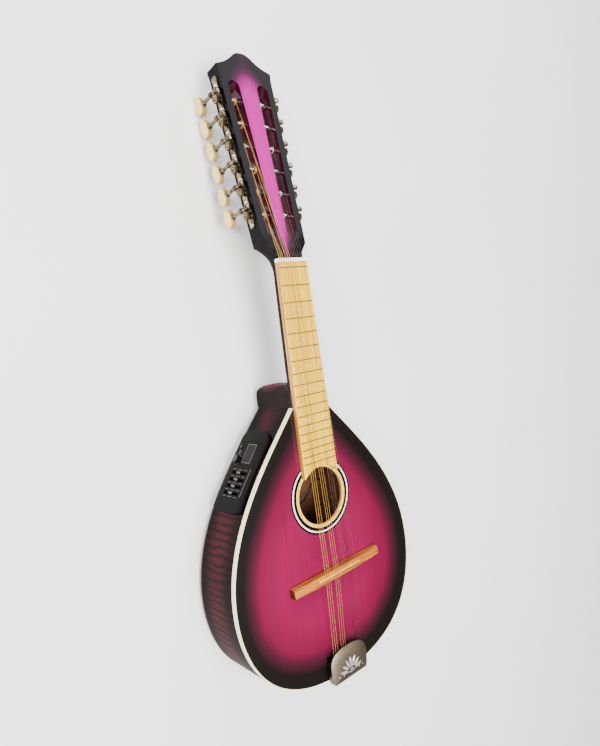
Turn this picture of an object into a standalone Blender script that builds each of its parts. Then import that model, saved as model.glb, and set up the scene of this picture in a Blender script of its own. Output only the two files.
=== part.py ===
"""Twelve-string mandolin: flat-backed teardrop body, slotted headstock, floating bridge, side preamp.

Everything is laid out in the instrument's own coordinates: the zero fret is Y = 0, the soundboard's
face is Z = 0, +X is the treble side and +Y runs towards the head. The empty named mandolin carries
them to the resting frame, where the instrument lies on its back on Z = 0. All sizes are in metres.
"""
import math

import bmesh
import bpy
from mathutils import Matrix, Vector

# Clearances
GAP = 0.0003
RUNNING_GAP = 0.0003

# Scale and frets
SCALE_LENGTH = 0.345
FRET_COUNT = 17
JOIN_FRET = 10


def fret_y(number):
    """Distance of a fret from the zero fret, towards the tail."""
    return -SCALE_LENGTH * (1 - 2 ** (-number / 12))


# The body starts at the fret where the neck joins it, and its pieces keep their distances from there
BODY_FRONT_Y = fret_y(JOIN_FRET)

# Body outline in plan, one half: two curve stretches from the heel to the tail
SHOULDER_HALF = 0.0246
SHOULDER_ANGLE = math.radians(40.45)
SHOULDER_PULL = 0.060
BODY_HALF = 0.1334
WIDEST_Y = BODY_FRONT_Y - 0.1968
UPPER_PULL = 0.0878
LOWER_PULL = 0.0533
TAIL_Y = BODY_FRONT_Y - 0.3211
TAIL_PULL = 0.1089
OUTLINE_STEPS = 12

# Body depth and plates
FRONT_DEPTH = 0.0640
TAIL_DEPTH = 0.0725
SOUNDBOARD_THICKNESS = 0.0030
BACK_THICKNESS = 0.0030
RIB_THICKNESS = 0.0022
BINDING_THICKNESS = 0.0012
BINDING_HEIGHT = 0.0054

# Soundhole and rosette
HOLE_Y = BODY_FRONT_Y - 0.1057
HOLE_RADIUS = 0.0329
ROSETTE_RADIUS = 0.0444
ROSETTE_THICKNESS = 0.0009
ROUND_STEPS = 32

# Blocks, linings and braces inside the body
NECK_BLOCK_LENGTH = 0.0236
TAIL_BLOCK_LENGTH = 0.0180
TAIL_BLOCK_HALF = 0.0300
LINING_THICKNESS = 0.0055
TOP_LINING_HEIGHT = 0.0077
BACK_LINING_HEIGHT = 0.0050
BRACE_WIDTH = 0.0080
BRACE_HEIGHT = 0.0090
TOP_BRACES_Y = (BODY_FRONT_Y - 0.0546, BODY_FRONT_Y - 0.1576, BODY_FRONT_Y - 0.2436)
BACK_BRACES_Y = (BODY_FRONT_Y - 0.1886, BODY_FRONT_Y - 0.2636)
BRACE_END_HEIGHT = 0.0035
BRACE_SCOOP_SHARE = 0.25

# Neck and heel
NUT_HALF = 0.0204
BOARD_FLARE = 0.01946
NECK_DEPTH_AT_NUT = 0.0140
NECK_DEPTH_AT_HEEL = 0.0155
NECK_ROUNDNESS = 2.3
NECK_SECTION_STEPS = 14
# Into the head: the share of the flare's length, of its widening and of its depth, and its roundness
HEAD_BLEND = (
    (0.0, 0.0, 0.984, 2.6),
    (0.35, 0.12, 1.0, 3.5),
    (0.65, 0.50, 1.0, 5.0),
    (1.0, 1.0, 1.0, 14.0),
)
HEEL_HALF = 0.0244
HEEL_STRAIGHT = 0.0131
HEEL_NOSE = 0.0110
HEEL_ROUNDNESS = 3.0
HEEL_STEPS = 12
HEEL_DROP = 0.0005
TRUSS_ROD_WIDTH = 0.0060
TRUSS_ROD_DEPTH = 0.0070
TRUSS_ROD_END_Y = BODY_FRONT_Y + 0.0074

# Fingerboard, frets, dots and nut
BOARD_THICKNESS = 0.0056
BOARD_HEAD_Y = 0.0052
BOARD_END_RADIUS = 0.0350
BOARD_END_HALF = 0.0240
FRET_WIDTH = 0.0020
FRET_HEIGHT = 0.0008
FRET_INSET = 0.0005
# Across and up a fret, as shares of its width and height: its foot is pressed into the board
FRET_CROWN = ((-0.5, -0.3), (0.5, -0.3), (0.4, 0.6), (0.0, 1.0), (-0.4, 0.6))
NUT_LENGTH = 0.0042
NUT_TOP = 0.0080

# Headstock, measured along and square to its own tilted face
HEAD_ANGLE = math.radians(8.57)
HEAD_START_Y = 0.0100
HEAD_THICKNESS = 0.0190
HEAD_FOOT = 0.0170
HEAD_FOOT_HALF = 0.02965
HEAD_SIDE_END = 0.2060
HEAD_TOP_HALF = 0.0352
HEAD_CORNER = (0.0367, 0.2128)
CREST_HALF = ((0.0289, 0.2155), (0.0233, 0.2180), (0.0170, 0.2220), (0.0110, 0.2269), (0.0040, 0.2303))
SLOT_FOOT = (0.0141, 0.0330)
SLOT_TOP = (0.0192, 0.1896)
SLOT_RADIUS = 0.0072

# Tuning machines, six a side
TUNERS_A_SIDE = 6
TUNER_START = 0.0510
TUNER_PITCH = 0.0254
ROLLER_DEPTH = 0.0090
ROLLER_RADIUS = 0.0032
ROLLER_LENGTH = 0.0270
ROLLER_NECK_RADIUS = 0.0024
ROLLER_CAP_LENGTH = 0.0008
ROLLER_SIDES = 10
GEAR_TEETH = 14
GEAR_TIP_RADIUS = 0.0049
GEAR_ROOT_RADIUS = 0.0039
GEAR_WIDTH = 0.0038
WORM_RADIUS = 0.0021
WORM_LENGTH = 0.0080
WORM_OFFSET = 0.0074
WORM_STANDOFF = 0.0060
KEY_SHAFT_RADIUS = 0.0018
KEY_PIVOT_RADIUS = 0.0011
KEY_REACH = 0.0387
KEY_SIDES = 8
BUTTON_HALF_LENGTH = 0.01025
BUTTON_HALF_HEIGHT = 0.0065
BUTTON_THICKNESS = 0.0084
BUTTON_ROUNDING = 0.0024
BUTTON_SIDES = 16
PLATE_THICKNESS = 0.0012
PLATE_WIDTH = 0.0110
PLATE_START = 0.0370
PLATE_END = 0.2035
PLATE_DEPTH = 0.0095
EAR_THICKNESS = 0.0014
EAR_HALF_WIDTH = 0.0029
EAR_OVERHANG = 0.0027
PLATE_SCREW_OFFSET = 0.0151

# Bridge and saddle
BRIDGE_X = 0.0040
BRIDGE_Y = -SCALE_LENGTH - 0.0026
BRIDGE_LENGTH = 0.1335
BRIDGE_WIDTH = 0.0108
BRIDGE_TURN = math.radians(2.1)
BRIDGE_END_HEIGHT = 0.0086
BRIDGE_TOP = 0.0105
BRIDGE_WING = 0.0330
SADDLE_X = 0.0029
SADDLE_Y = -SCALE_LENGTH - 0.0012
SADDLE_LENGTH = 0.0647
SADDLE_WIDTH = 0.0024
SADDLE_TOP = 0.0125
SADDLE_DEPTH = 0.0060

# Tailpiece
TAILPIECE_X = 0.0010
TAILPIECE_BASE_HALF = 0.0262
TAILPIECE_SHEET = 0.0012
TAILPIECE_FRONT_Y = TAIL_Y + 0.0305
TAILPIECE_LEG_HALF = 0.0150
TAILPIECE_LEG_DEPTH = 0.0220
HOOK_Y = TAIL_Y + 0.0175
HOOK_RADIUS = 0.0009
HOOK_HEIGHT = 0.0042
HOOK_SIDES = 6
COVER_HALF = 0.0285
COVER_FRONT_Y = TAIL_Y + 0.0365
COVER_REAR_Y = TAIL_Y - 0.0025
COVER_SHOULDER_Y = TAIL_Y + 0.0155
COVER_ROUNDNESS = 2.7
COVER_RIM_HEIGHT = 0.0092
COVER_CROWN = 0.0022
COVER_SHEET = 0.0009
COVER_STEPS = 28
# The crown's rings: share of the way to the rim, and share of the fall. The skirt is cut away in front
COVER_RINGS = ((0.45, 0.15), (0.80, 0.50), (0.95, 0.85), (1.0, 1.0))
COVER_OPEN_SINE = 0.35

# Strings: four courses of three, from the bass side to the treble side
COURSES = 4
STRINGS_A_COURSE = 3
STRING_RADII = (0.00045, 0.00038, 0.00022, 0.00018)
NUT_COURSE_X = -0.0022
NUT_COURSE_PITCH = 0.0093
NUT_STRING_PITCH = 0.0029
BRIDGE_COURSE_X = 0.0040
BRIDGE_COURSE_PITCH = 0.0142
BRIDGE_STRING_PITCH = 0.0031
TAIL_COURSE_X = 0.0041
TAIL_COURSE_PITCH = 0.0122
TAIL_STRING_PITCH = 0.0034
STRING_HOOK_HEIGHT = 0.0040
STRING_BAR = 0.0014
NUT_SLOT_SIDE_GAP = 0.0004
# For each string from the head's edge inwards: its roller, counted from the nut, and its place there
ROLLER_OF_STRING = (3, 1, 0, 2, 4, 5)
ROLLER_STRING_X = (0.0200, 0.0165, 0.0135, 0.0115, 0.0145, 0.0175)

# Preamp on the bass-side wall
PANEL_START_Y = BODY_FRONT_Y - 0.0226
PANEL_LENGTH = 0.0960
PANEL_HEIGHT = 0.0485
PANEL_CENTRE_Z = -0.03525
PANEL_FACE = 0.0044
PANEL_NOSE = 0.0140
PANEL_NOSE_POWER = 0.8
PANEL_NOSE_STEPS = 8
PANEL_CORNER_STEPS = 3
PANEL_CORNER = 0.0050
PANEL_BULGE = 0.0015
DOOR_LENGTH = 0.0170
HOUSING_HEIGHT = 0.0420
HOUSING_DEPTH = 0.0240
HOUSING_WALL = 0.0015
HOUSING_MARGIN = 0.0040
BATTERY_WIDTH = 0.0170
BATTERY_HEIGHT = 0.0260
BATTERY_LENGTH = 0.0480
DISPLAY_START = 0.0187
DISPLAY_LENGTH = 0.0216
DISPLAY_HEIGHT = 0.0141
DISPLAY_Z = -0.03375
DISPLAY_THICKNESS = 0.0012
TUNER_BUTTON_X = 0.0225
TUNER_BUTTON_Z = -0.0520
TUNER_BUTTON_RADIUS = 0.0020
TUNER_BUTTON_SIDES = 12
TUNER_BUTTON_STROKE = 0.0012
KNOB_X = 0.0381
KNOB_Z = -0.0506
KNOB_RADIUS = 0.0044
KNOB_SIDES = 16
KNOB_HEIGHT = 0.0040
KNOB_SHAFT_RADIUS = 0.0030
SLIDER_COUNT = 4
SLIDER_START = 0.0529
SLIDER_PITCH = 0.0078
SLIDER_Z = -0.03725
SLIDER_SLOT_LENGTH = 0.0265
SLIDER_SLOT_WIDTH = 0.0030
SLIDER_STEM = 0.0030
SLIDER_THUMB = 0.0050
SLIDER_THUMB_HEIGHT = 0.0026
SLIDER_STEM_DEPTH = 0.0060

# Pickup, its leads and the end-pin jack
PICKUP_POSITION = (0.0120, -SCALE_LENGTH)
PICKUP_RADIUS = 0.0100
PICKUP_THICKNESS = 0.0008
PICKUP_SIDES = 18
LEAD_RADIUS = 0.0009
# The leads' routes: X, Y from the body's front edge, and Z
PICKUP_LEAD_ROUTE = (
    (-0.0550, -0.1066, -0.0365),
    (-0.0320, -0.1346, -0.0360),
    (-0.0100, -0.1666, -0.0270),
    (0.0060, -0.1846, -0.0140),
)
OUTPUT_LEAD_ROUTE = (
    (-0.0600, -0.1166, -0.0530),
    (-0.0260, -0.1366, -0.0625),
    (0.0140, -0.1316, -0.0633),
    (0.0300, -0.1231, -0.0630),
    (0.0400, -0.1106, -0.0627),
    (0.0520, -0.1076, -0.0626),
    (0.0620, -0.1236, -0.0630),
    (0.0600, -0.1606, -0.0625),
    (0.0520, -0.1906, -0.0545),
    (0.0400, -0.2266, -0.0590),
    (0.0260, -0.2626, -0.0565),
    (0.0080, -0.2846, -0.0430),
)
LEAD_STEPS = 3
PLUG_SHARE = 0.78
PLUG_WIDTH = 0.0080
PLUG_HEIGHT = 0.0120
PLUG_DEPTH = 0.0050
JACK_Z = -0.0400
JACK_BARREL_RADIUS = 0.0058
JACK_BORE_RADIUS = 0.0033
JACK_BORE_DEPTH = 0.0340
JACK_BARREL_LENGTH = 0.0270
JACK_FLANGE_RADIUS = 0.0080
JACK_SEAT_RADIUS = 0.0095
JACK_NUT_RADIUS = 0.0085
JACK_SEAT_HEIGHT = 0.0027
JACK_NECK_HEIGHT = 0.0105
JACK_FLANGE_HEIGHT = 0.0120
JACK_SIDES = 16

# Screws
SCREW_HEAD_RADIUS = 0.0022
SCREW_HEAD_HEIGHT = 0.0013
SCREW_SHANK_RADIUS = 0.0010
SCREW_LENGTH = 0.0075
SCREW_SIDES = 6


# Places worked out from the sizes above
BACK_SLOPE = math.atan2(TAIL_DEPTH - FRONT_DEPTH, BODY_FRONT_Y - TAIL_Y)
BOARD_TOP = GAP + BOARD_THICKNESS
FRET_TOP = BOARD_TOP + FRET_HEIGHT
SIDE_ANGLE = math.atan2(HEAD_TOP_HALF - HEAD_FOOT_HALF, HEAD_SIDE_END - HEAD_FOOT)
NUT_Y = BOARD_HEAD_Y + GAP
HEAD_CREST = CREST_HALF[-1][1]
BUTTON_SPAN = math.hypot(BUTTON_HALF_LENGTH * math.sin(HEAD_ANGLE),
                         BUTTON_HALF_HEIGHT * math.cos(HEAD_ANGLE))
LAST_WORM = TUNER_START + TUNER_PITCH * (TUNERS_A_SIDE - 1) + WORM_OFFSET
BUTTON_LOW = LAST_WORM * math.sin(HEAD_ANGLE) + KEY_REACH * math.cos(HEAD_ANGLE) + BUTTON_SPAN
REST_DEPTH = max(TAIL_DEPTH, BUTTON_LOW)
LENGTH_TOP_Y = HEAD_START_Y + HEAD_CREST * math.cos(HEAD_ANGLE)
LENGTH_TAIL_Y = TAIL_Y - JACK_FLANGE_HEIGHT
CENTRE_Y = (LENGTH_TOP_Y + LENGTH_TAIL_Y) / 2

ALONG_X = Matrix(((0, 0, 1, 0), (1, 0, 0, 0), (0, 1, 0, 0), (0, 0, 0, 1)))
OUT_OF_TAIL = Matrix(((1, 0, 0, 0), (0, 0, -1, 0), (0, 1, 0, 0), (0, 0, 0, 1)))

MATERIALS = {
    "lacquer_top": ((0.42, 0.035, 0.085), 0.22, 0.0),
    "lacquer_side": ((0.045, 0.012, 0.014), 0.22, 0.0),
    "lacquer_head": ((0.50, 0.06, 0.28), 0.22, 0.0),
    "back_lacquer": ((0.10, 0.016, 0.018), 0.25, 0.0),
    "binding": ((0.80, 0.74, 0.60), 0.40, 0.0),
    "rosette": ((0.85, 0.83, 0.74), 0.35, 0.0),
    "maple_board": ((0.90, 0.62, 0.22), 0.38, 0.0),
    "bone": ((0.88, 0.86, 0.80), 0.40, 0.0),
    "bridge_wood": ((0.66, 0.26, 0.05), 0.40, 0.0),
    "nickel": ((0.50, 0.45, 0.36), 0.28, 1.0),
    "steel": ((0.60, 0.57, 0.52), 0.30, 1.0),
    "button": ((0.86, 0.80, 0.66), 0.35, 0.0),
    "wound_string": ((0.75, 0.42, 0.22), 0.30, 1.0),
    "plain_string": ((0.70, 0.60, 0.45), 0.25, 1.0),
    "bare_wood": ((0.62, 0.42, 0.22), 0.70, 0.0),
    "black_plastic": ((0.018, 0.018, 0.018), 0.45, 0.0),
    "battery": ((0.03, 0.03, 0.04), 0.40, 0.6),
    "lead": ((0.012, 0.012, 0.012), 0.60, 0.0),
}


def clear_scene():
    """Remove every object that the file opened with."""
    for obj in list(bpy.data.objects):
        bpy.data.objects.remove(obj, do_unlink=True)


def make_material(name):
    """A plain material with the piece's colour, roughness and metallic value."""
    colour, roughness, metallic = MATERIALS[name]
    material = bpy.data.materials.get(name) or bpy.data.materials.new(name)
    material.use_nodes = True
    shader = material.node_tree.nodes["Principled BSDF"]
    shader.inputs["Base Color"].default_value = (*colour, 1.0)
    shader.inputs["Roughness"].default_value = roughness
    shader.inputs["Metallic"].default_value = metallic
    material.diffuse_color = (*colour, 1.0)
    return material


def collection(name):
    """A collection of the scene, made the first time it is asked for."""
    group = bpy.data.collections.get(name)
    if group is None:
        group = bpy.data.collections.new(name)
        bpy.context.scene.collection.children.link(group)
    return group


def frame_empty(name, matrix, parent=None):
    """An empty that carries the pieces of one local frame."""
    empty = bpy.data.objects.new(name, None)
    collection("mandolin").objects.link(empty)
    empty.parent = parent
    empty.matrix_local = matrix
    return empty


def part(name, mesh, material, parent, location=(0.0, 0.0, 0.0)):
    """One sub-part: a mesh in its parent's frame, or about its own joint's axis."""
    mesh.name = name if mesh.users == 0 else mesh.name
    if not mesh.materials:
        mesh.materials.append(make_material(material))
        mesh.shade_smooth()
        mesh.set_sharp_from_angle(angle=math.radians(35))
    obj = bpy.data.objects.new(name, mesh)
    collection("mandolin").objects.link(obj)
    obj.parent = parent
    obj.location = location
    return obj


def evaluated_mesh(obj):
    """The mesh of an object with its modifiers or its bevel applied; the object is removed."""
    group = bpy.context.scene.collection
    if obj.name not in group.objects:
        group.objects.link(obj)
    bpy.context.view_layer.update()
    graph = bpy.context.evaluated_depsgraph_get()
    mesh = bpy.data.meshes.new_from_object(obj.evaluated_get(graph))
    bpy.data.objects.remove(obj, do_unlink=True)
    return mesh


def tidied(mesh, axes=None):
    """Weld a mesh's loose caps, turn its faces outwards and move it by axes."""
    shape = bmesh.new()
    shape.from_mesh(mesh)
    bmesh.ops.remove_doubles(shape, verts=shape.verts, dist=0.000002)
    bmesh.ops.recalc_face_normals(shape, faces=shape.faces)
    if axes is not None:
        bmesh.ops.transform(shape, matrix=axes, verts=shape.verts)
    shape.to_mesh(mesh)
    shape.free()
    mesh.materials.clear()
    return mesh


def prism(loops, low, high, axes=None):
    """A plate with the outline loops, the first outside and the others holes, from low to high."""
    curve = bpy.data.curves.new("outline", "CURVE")
    curve.dimensions = "2D"
    curve.fill_mode = "BOTH"
    curve.extrude = (high - low) / 2
    for loop in loops:
        spline = curve.splines.new("POLY")
        spline.points.add(len(loop) - 1)
        for point, (x, y) in zip(spline.points, loop):
            point.co = (x, y, 0.0, 1.0)
        spline.use_cyclic_u = True
    mesh = evaluated_mesh(bpy.data.objects.new("outline", curve))
    lift = Matrix.Translation((0, 0, (high + low) / 2))
    return tidied(mesh, lift if axes is None else axes @ lift)


def turned(profile, steps, axes=None):
    """A turned solid about Z from a profile of radius and height, read down its outer side."""
    mesh = bpy.data.meshes.new("profile")
    points = [(radius, 0.0, height) for radius, height in profile]
    mesh.from_pydata(points, [(i, i + 1) for i in range(len(points) - 1)], [])
    obj = bpy.data.objects.new("profile", mesh)
    screw = obj.modifiers.new("turn", "SCREW")
    screw.steps = steps
    screw.render_steps = steps
    screw.use_merge_vertices = True
    screw.merge_threshold = 0.00001
    return tidied(evaluated_mesh(obj), axes)


def tube(points, radius, resolution=1):
    """A round wire with closed ends along the points."""
    curve = bpy.data.curves.new("wire", "CURVE")
    curve.dimensions = "3D"
    curve.bevel_depth = radius
    curve.bevel_resolution = resolution
    curve.use_fill_caps = True
    spline = curve.splines.new("POLY")
    spline.points.add(len(points) - 1)
    for point, place in zip(spline.points, points):
        point.co = (*place, 1.0)
    return tidied(evaluated_mesh(bpy.data.objects.new("wire", curve)))


def block(low, high, axes=None):
    """A rectangular block between two corners."""
    shape = bmesh.new()
    bmesh.ops.create_cube(shape, size=1.0)
    size = Vector(high) - Vector(low)
    centre = (Vector(high) + Vector(low)) / 2
    place = Matrix.Translation(centre) @ Matrix.Diagonal((*size, 1))
    if axes is not None:
        place = axes @ place
    bmesh.ops.transform(shape, matrix=place, verts=shape.verts)
    mesh = bpy.data.meshes.new("block")
    shape.to_mesh(mesh)
    shape.free()
    return mesh


def rod(radius, low, high, steps, axes=None):
    """A plain cylinder about Z from low to high."""
    shape = bmesh.new()
    bmesh.ops.create_cone(
        shape, cap_ends=True, segments=steps, radius1=radius, radius2=radius, depth=high - low,
        matrix=Matrix.Translation((0, 0, (high + low) / 2)),
    )
    if axes is not None:
        bmesh.ops.transform(shape, matrix=axes, verts=shape.verts)
    mesh = bpy.data.meshes.new("rod")
    shape.to_mesh(mesh)
    shape.free()
    return mesh


def merged(meshes):
    """Several separate solids in one mesh."""
    shape = bmesh.new()
    for mesh in meshes:
        shape.from_mesh(mesh)
    result = bpy.data.meshes.new("group")
    shape.to_mesh(result)
    shape.free()
    return result


def combined(base, tools, operation):
    """The base joined with the tools, or cut by them, by exact Booleans."""
    obj = bpy.data.objects.new("base", base)
    cutters = []
    for tool in tools:
        cutter = bpy.data.objects.new("cutter", tool)
        collection("cutters").objects.link(cutter)
        cutter.hide_render = True
        cutter.display_type = "WIRE"
        modifier = obj.modifiers.new("combine", "BOOLEAN")
        modifier.operation = operation
        modifier.solver = "EXACT"
        modifier.object = cutter
        cutters.append(cutter)
    mesh = evaluated_mesh(obj)
    for cutter in cutters:
        bpy.data.objects.remove(cutter, do_unlink=True)
    return tidied(mesh)


def circle(x, y, radius, steps):
    """Points round a circle."""
    turns = [2 * math.pi * (i + 0.5) / steps for i in range(steps)]
    return [(x + radius * math.cos(a), y + radius * math.sin(a)) for a in turns]


def rectangle(x0, x1, y0, y1):
    """The corners of a rectangle."""
    return [(x0, y0), (x1, y0), (x1, y1), (x0, y1)]


def bezier(p0, p1, p2, p3, steps):
    """Points along a cubic curve, its start left out."""
    points = []
    for i in range(1, steps + 1):
        t = i / steps
        s = 1 - t
        points.append(p0 * s ** 3 + p1 * (3 * s * s * t) + p2 * (3 * s * t * t) + p3 * t ** 3)
    return points


def mirrored(points):
    """The same points on the other side of the centre line, in reverse order."""
    return [(-x, y) for x, y in reversed(points)]


def half_outline():
    """The treble half of the body's outline, from the heel's corner to the tail."""
    corner = Vector((SHOULDER_HALF, BODY_FRONT_Y))
    leaving = Vector((math.sin(SHOULDER_ANGLE), -math.cos(SHOULDER_ANGLE)))
    widest = Vector((BODY_HALF, WIDEST_Y))
    tail = Vector((0.0, TAIL_Y))
    over = widest + Vector((0, UPPER_PULL))
    under = widest - Vector((0, LOWER_PULL))
    upper = bezier(corner, corner + leaving * SHOULDER_PULL, over, widest, OUTLINE_STEPS)
    lower = bezier(widest, under, tail + Vector((TAIL_PULL, 0)), tail, OUTLINE_STEPS)
    return [corner] + upper + lower


def side_path(inset):
    """The treble half of the outline, drawn in square to itself by inset."""
    half = half_outline()
    leaving = Vector((math.sin(SHOULDER_ANGLE), -math.cos(SHOULDER_ANGLE)))
    path = []
    for i, point in enumerate(half):
        before = half[i - 1] if i > 0 else point - leaving
        after = half[i + 1] if i + 1 < len(half) else Vector((-before.x, before.y))
        along = (after - before).normalized() if i > 0 else leaving
        path.append((point.x + along.y * inset, point.y - along.x * inset))
    return path


def clipped(path, axis, limit, above):
    """The stretch of a path on one side of a line across it, with an end exactly on the line."""
    kept = []
    for i, point in enumerate(path):
        inside = (point[axis] > limit) == above
        if i > 0:
            last = path[i - 1]
            was_inside = (last[axis] > limit) == above
            if inside != was_inside:
                share = (limit - last[axis]) / (point[axis] - last[axis])
                crossing = [last[k] + (point[k] - last[k]) * share for k in (0, 1)]
                crossing[axis] = limit
                kept.append(tuple(crossing))
        if inside:
            kept.append(point)
    return kept


def closed_outline(inset):
    """The body's whole outline, drawn in by inset, with its front edge square at the neck joint."""
    half = side_path(inset)
    if inset > 0:
        half = [(half[0][0] - inset * 0.8, BODY_FRONT_Y)] + half
    return half + mirrored(half[:-1])


def open_band(outer_inset, inner_inset):
    """A wall of even thickness round the body, open at the neck joint."""
    outer = side_path(outer_inset)
    inner = side_path(inner_inset)
    outer = outer + mirrored(outer[:-1])
    inner = inner + mirrored(inner[:-1])
    return outer + list(reversed(inner))


def back_plane_z(y):
    """Height of the back plate's outer face."""
    return -FRONT_DEPTH + (y - BODY_FRONT_Y) * math.tan(BACK_SLOPE)


def back_inner_z(y):
    """Height of the back plate's inner face."""
    return back_plane_z(y) + BACK_THICKNESS / math.cos(BACK_SLOPE)


def on_back(points):
    """Plan points as coordinates in the tilted back plate."""
    return [(x, (y - BODY_FRONT_Y) / math.cos(BACK_SLOPE)) for x, y in points]


def wall_point(y):
    """Point of the body's outline on the treble side at a given Y."""
    path = [tuple(p) for p in half_outline()]
    return clipped(path, 1, y, False)[0]


def on_head(x, along, height):
    """Instrument coordinates of a point given in the headstock's tilted frame."""
    s, c = math.sin(HEAD_ANGLE), math.cos(HEAD_ANGLE)
    return (x, HEAD_START_Y + along * c + height * s, -along * s + height * c)


def board_half(y):
    """Half the fingerboard's width."""
    return NUT_HALF - y * BOARD_FLARE


def make_soundboard(root):
    """The flat top with its soundhole and the ledge that holds the rosette."""
    hole = circle(0.0, HOLE_Y, HOLE_RADIUS, ROUND_STEPS)
    inset = BINDING_THICKNESS + GAP
    board = prism([closed_outline(inset), hole], -SOUNDBOARD_THICKNESS, 0.0)
    ledge = ROSETTE_THICKNESS + GAP
    recess = prism([circle(0.0, HOLE_Y, ROSETTE_RADIUS + GAP, ROUND_STEPS)], -ledge, ledge)
    part("soundboard", combined(board, [recess, screw_holes()], "DIFFERENCE"), "lacquer_top", root)


def make_rosette(root):
    """The inlaid ring round the soundhole, flush with the top."""
    ring = [circle(0.0, HOLE_Y, r, ROUND_STEPS) for r in (ROSETTE_RADIUS, HOLE_RADIUS)]
    part("rosette", prism(ring, -ROSETTE_THICKNESS, 0.0), "rosette", root)


def make_binding(root):
    """The pale strip round the top edge of the body."""
    strip = prism([open_band(0.0, BINDING_THICKNESS)], -BINDING_HEIGHT, 0.0)
    part("binding", strip, "binding", root)


def preamp_box(x0, x1, height, z0, z1):
    """A block in the preamp's wall frame, centred on the panel's height."""
    return block((x0, PANEL_CENTRE_Z - height / 2, z0), (x1, PANEL_CENTRE_Z + height / 2, z1))


def make_side_ribs(root, wall_axes):
    """The bent sides, cut to the back's slope, with the preamp's window and the jack's hole."""
    top = -BINDING_HEIGHT - GAP
    wall = prism([open_band(0.0, RIB_THICKNESS)], back_plane_z(TAIL_Y), top)
    below = block((-BODY_HALF * 2, TAIL_Y * 2, -FRONT_DEPTH), (BODY_HALF * 2, -TAIL_Y, 0.0))
    tilt = Matrix.Translation((0, BODY_FRONT_Y, -FRONT_DEPTH + BACK_THICKNESS + GAP))
    below.transform(tilt @ Matrix.Rotation(BACK_SLOPE, 4, "X"))
    window = preamp_box(HOUSING_MARGIN - GAP, PANEL_LENGTH - HOUSING_MARGIN + GAP, HOUSING_HEIGHT + 2 * GAP,
                        -HOUSING_DEPTH, HOUSING_DEPTH)
    window.transform(wall_axes)
    cuts = [below, window, jack_hole(), screw_holes()]
    part("side_ribs", combined(wall, cuts, "DIFFERENCE"), "lacquer_side", root)


def jack_hole():
    """The bore through rib and tail block that the jack's barrel passes."""
    axes = Matrix.Translation((0, TAIL_Y, JACK_Z)) @ OUT_OF_TAIL
    return rod(JACK_BARREL_RADIUS + GAP * 1.5, -2 * TAIL_BLOCK_LENGTH, JACK_SEAT_HEIGHT, 16, axes)


def screw_holes():
    """The holes that the tailpiece's screws go into."""
    radius = SCREW_SHANK_RADIUS + GAP
    low, high = -SCREW_LENGTH - GAP, 2 * TAILPIECE_SHEET
    return merged([rod(radius, low, high, SCREW_SIDES, axes) for axes in tailpiece_screws()])


def make_back_plate(back):
    """The flat back, tilted so that the body deepens towards the tail."""
    plate = prism([on_back(closed_outline(0.0))], 0.0, BACK_THICKNESS)
    part("back_plate", plate, "back_lacquer", back)


def make_end_blocks(root):
    """The neck block and the tail block inside the body."""
    inner = side_path(RIB_THICKNESS + GAP)
    neck_edge = clipped(inner, 1, BODY_FRONT_Y - NECK_BLOCK_LENGTH, True)
    neck_half = [(neck_edge[0][0] - RIB_THICKNESS / 4, BODY_FRONT_Y)] + neck_edge
    neck_low = back_inner_z(BODY_FRONT_Y) + GAP
    top = -SOUNDBOARD_THICKNESS - GAP
    neck_block = prism([neck_half + mirrored(neck_half)], neck_low, top)
    tail_edge = clipped(clipped(inner, 1, WIDEST_Y, False), 0, TAIL_BLOCK_HALF, False)
    front = TAIL_Y + RIB_THICKNESS + GAP + TAIL_BLOCK_LENGTH
    tail_half = [(TAIL_BLOCK_HALF, front)] + tail_edge
    tail_low = back_inner_z(front) + GAP
    tail_block = prism([tail_half + mirrored(tail_half[:-1])], tail_low, top)
    part("neck_block", neck_block, "bare_wood", root)
    part("tail_block", combined(tail_block, [jack_hole(), screw_holes()], "DIFFERENCE"), "bare_wood", root)


def lining_half():
    """Plan outline of the lining on the treble side, between the two blocks."""
    front = BODY_FRONT_Y - NECK_BLOCK_LENGTH - GAP
    rear = TAIL_BLOCK_HALF + GAP
    faces = []
    for inset in (RIB_THICKNESS + GAP, RIB_THICKNESS + GAP + LINING_THICKNESS):
        faces.append(clipped(clipped(side_path(inset), 1, front, False), 0, rear, True))
    return faces[0] + list(reversed(faces[1]))


def brace_half(y):
    """Half the length of a brace whose ends are let into the linings."""
    reach = RIB_THICKNESS + GAP + LINING_THICKNESS / 2
    path = side_path(reach)
    edges = [clipped(path, 1, y + side * BRACE_WIDTH / 2, False)[0][0] for side in (-1, 1)]
    return min(edges)


def brace(half, height, foot, up):
    """A brace with thinned ends: its side view runs across the body, its foot on a plate."""
    scoop = half * BRACE_SCOOP_SHARE
    side = [(-half, 0), (half, 0), (half, BRACE_END_HEIGHT), (half - scoop, height), (scoop - half, height),
            (-half, BRACE_END_HEIGHT)]
    return [(x, foot + z * up) for x, z in side]


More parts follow.
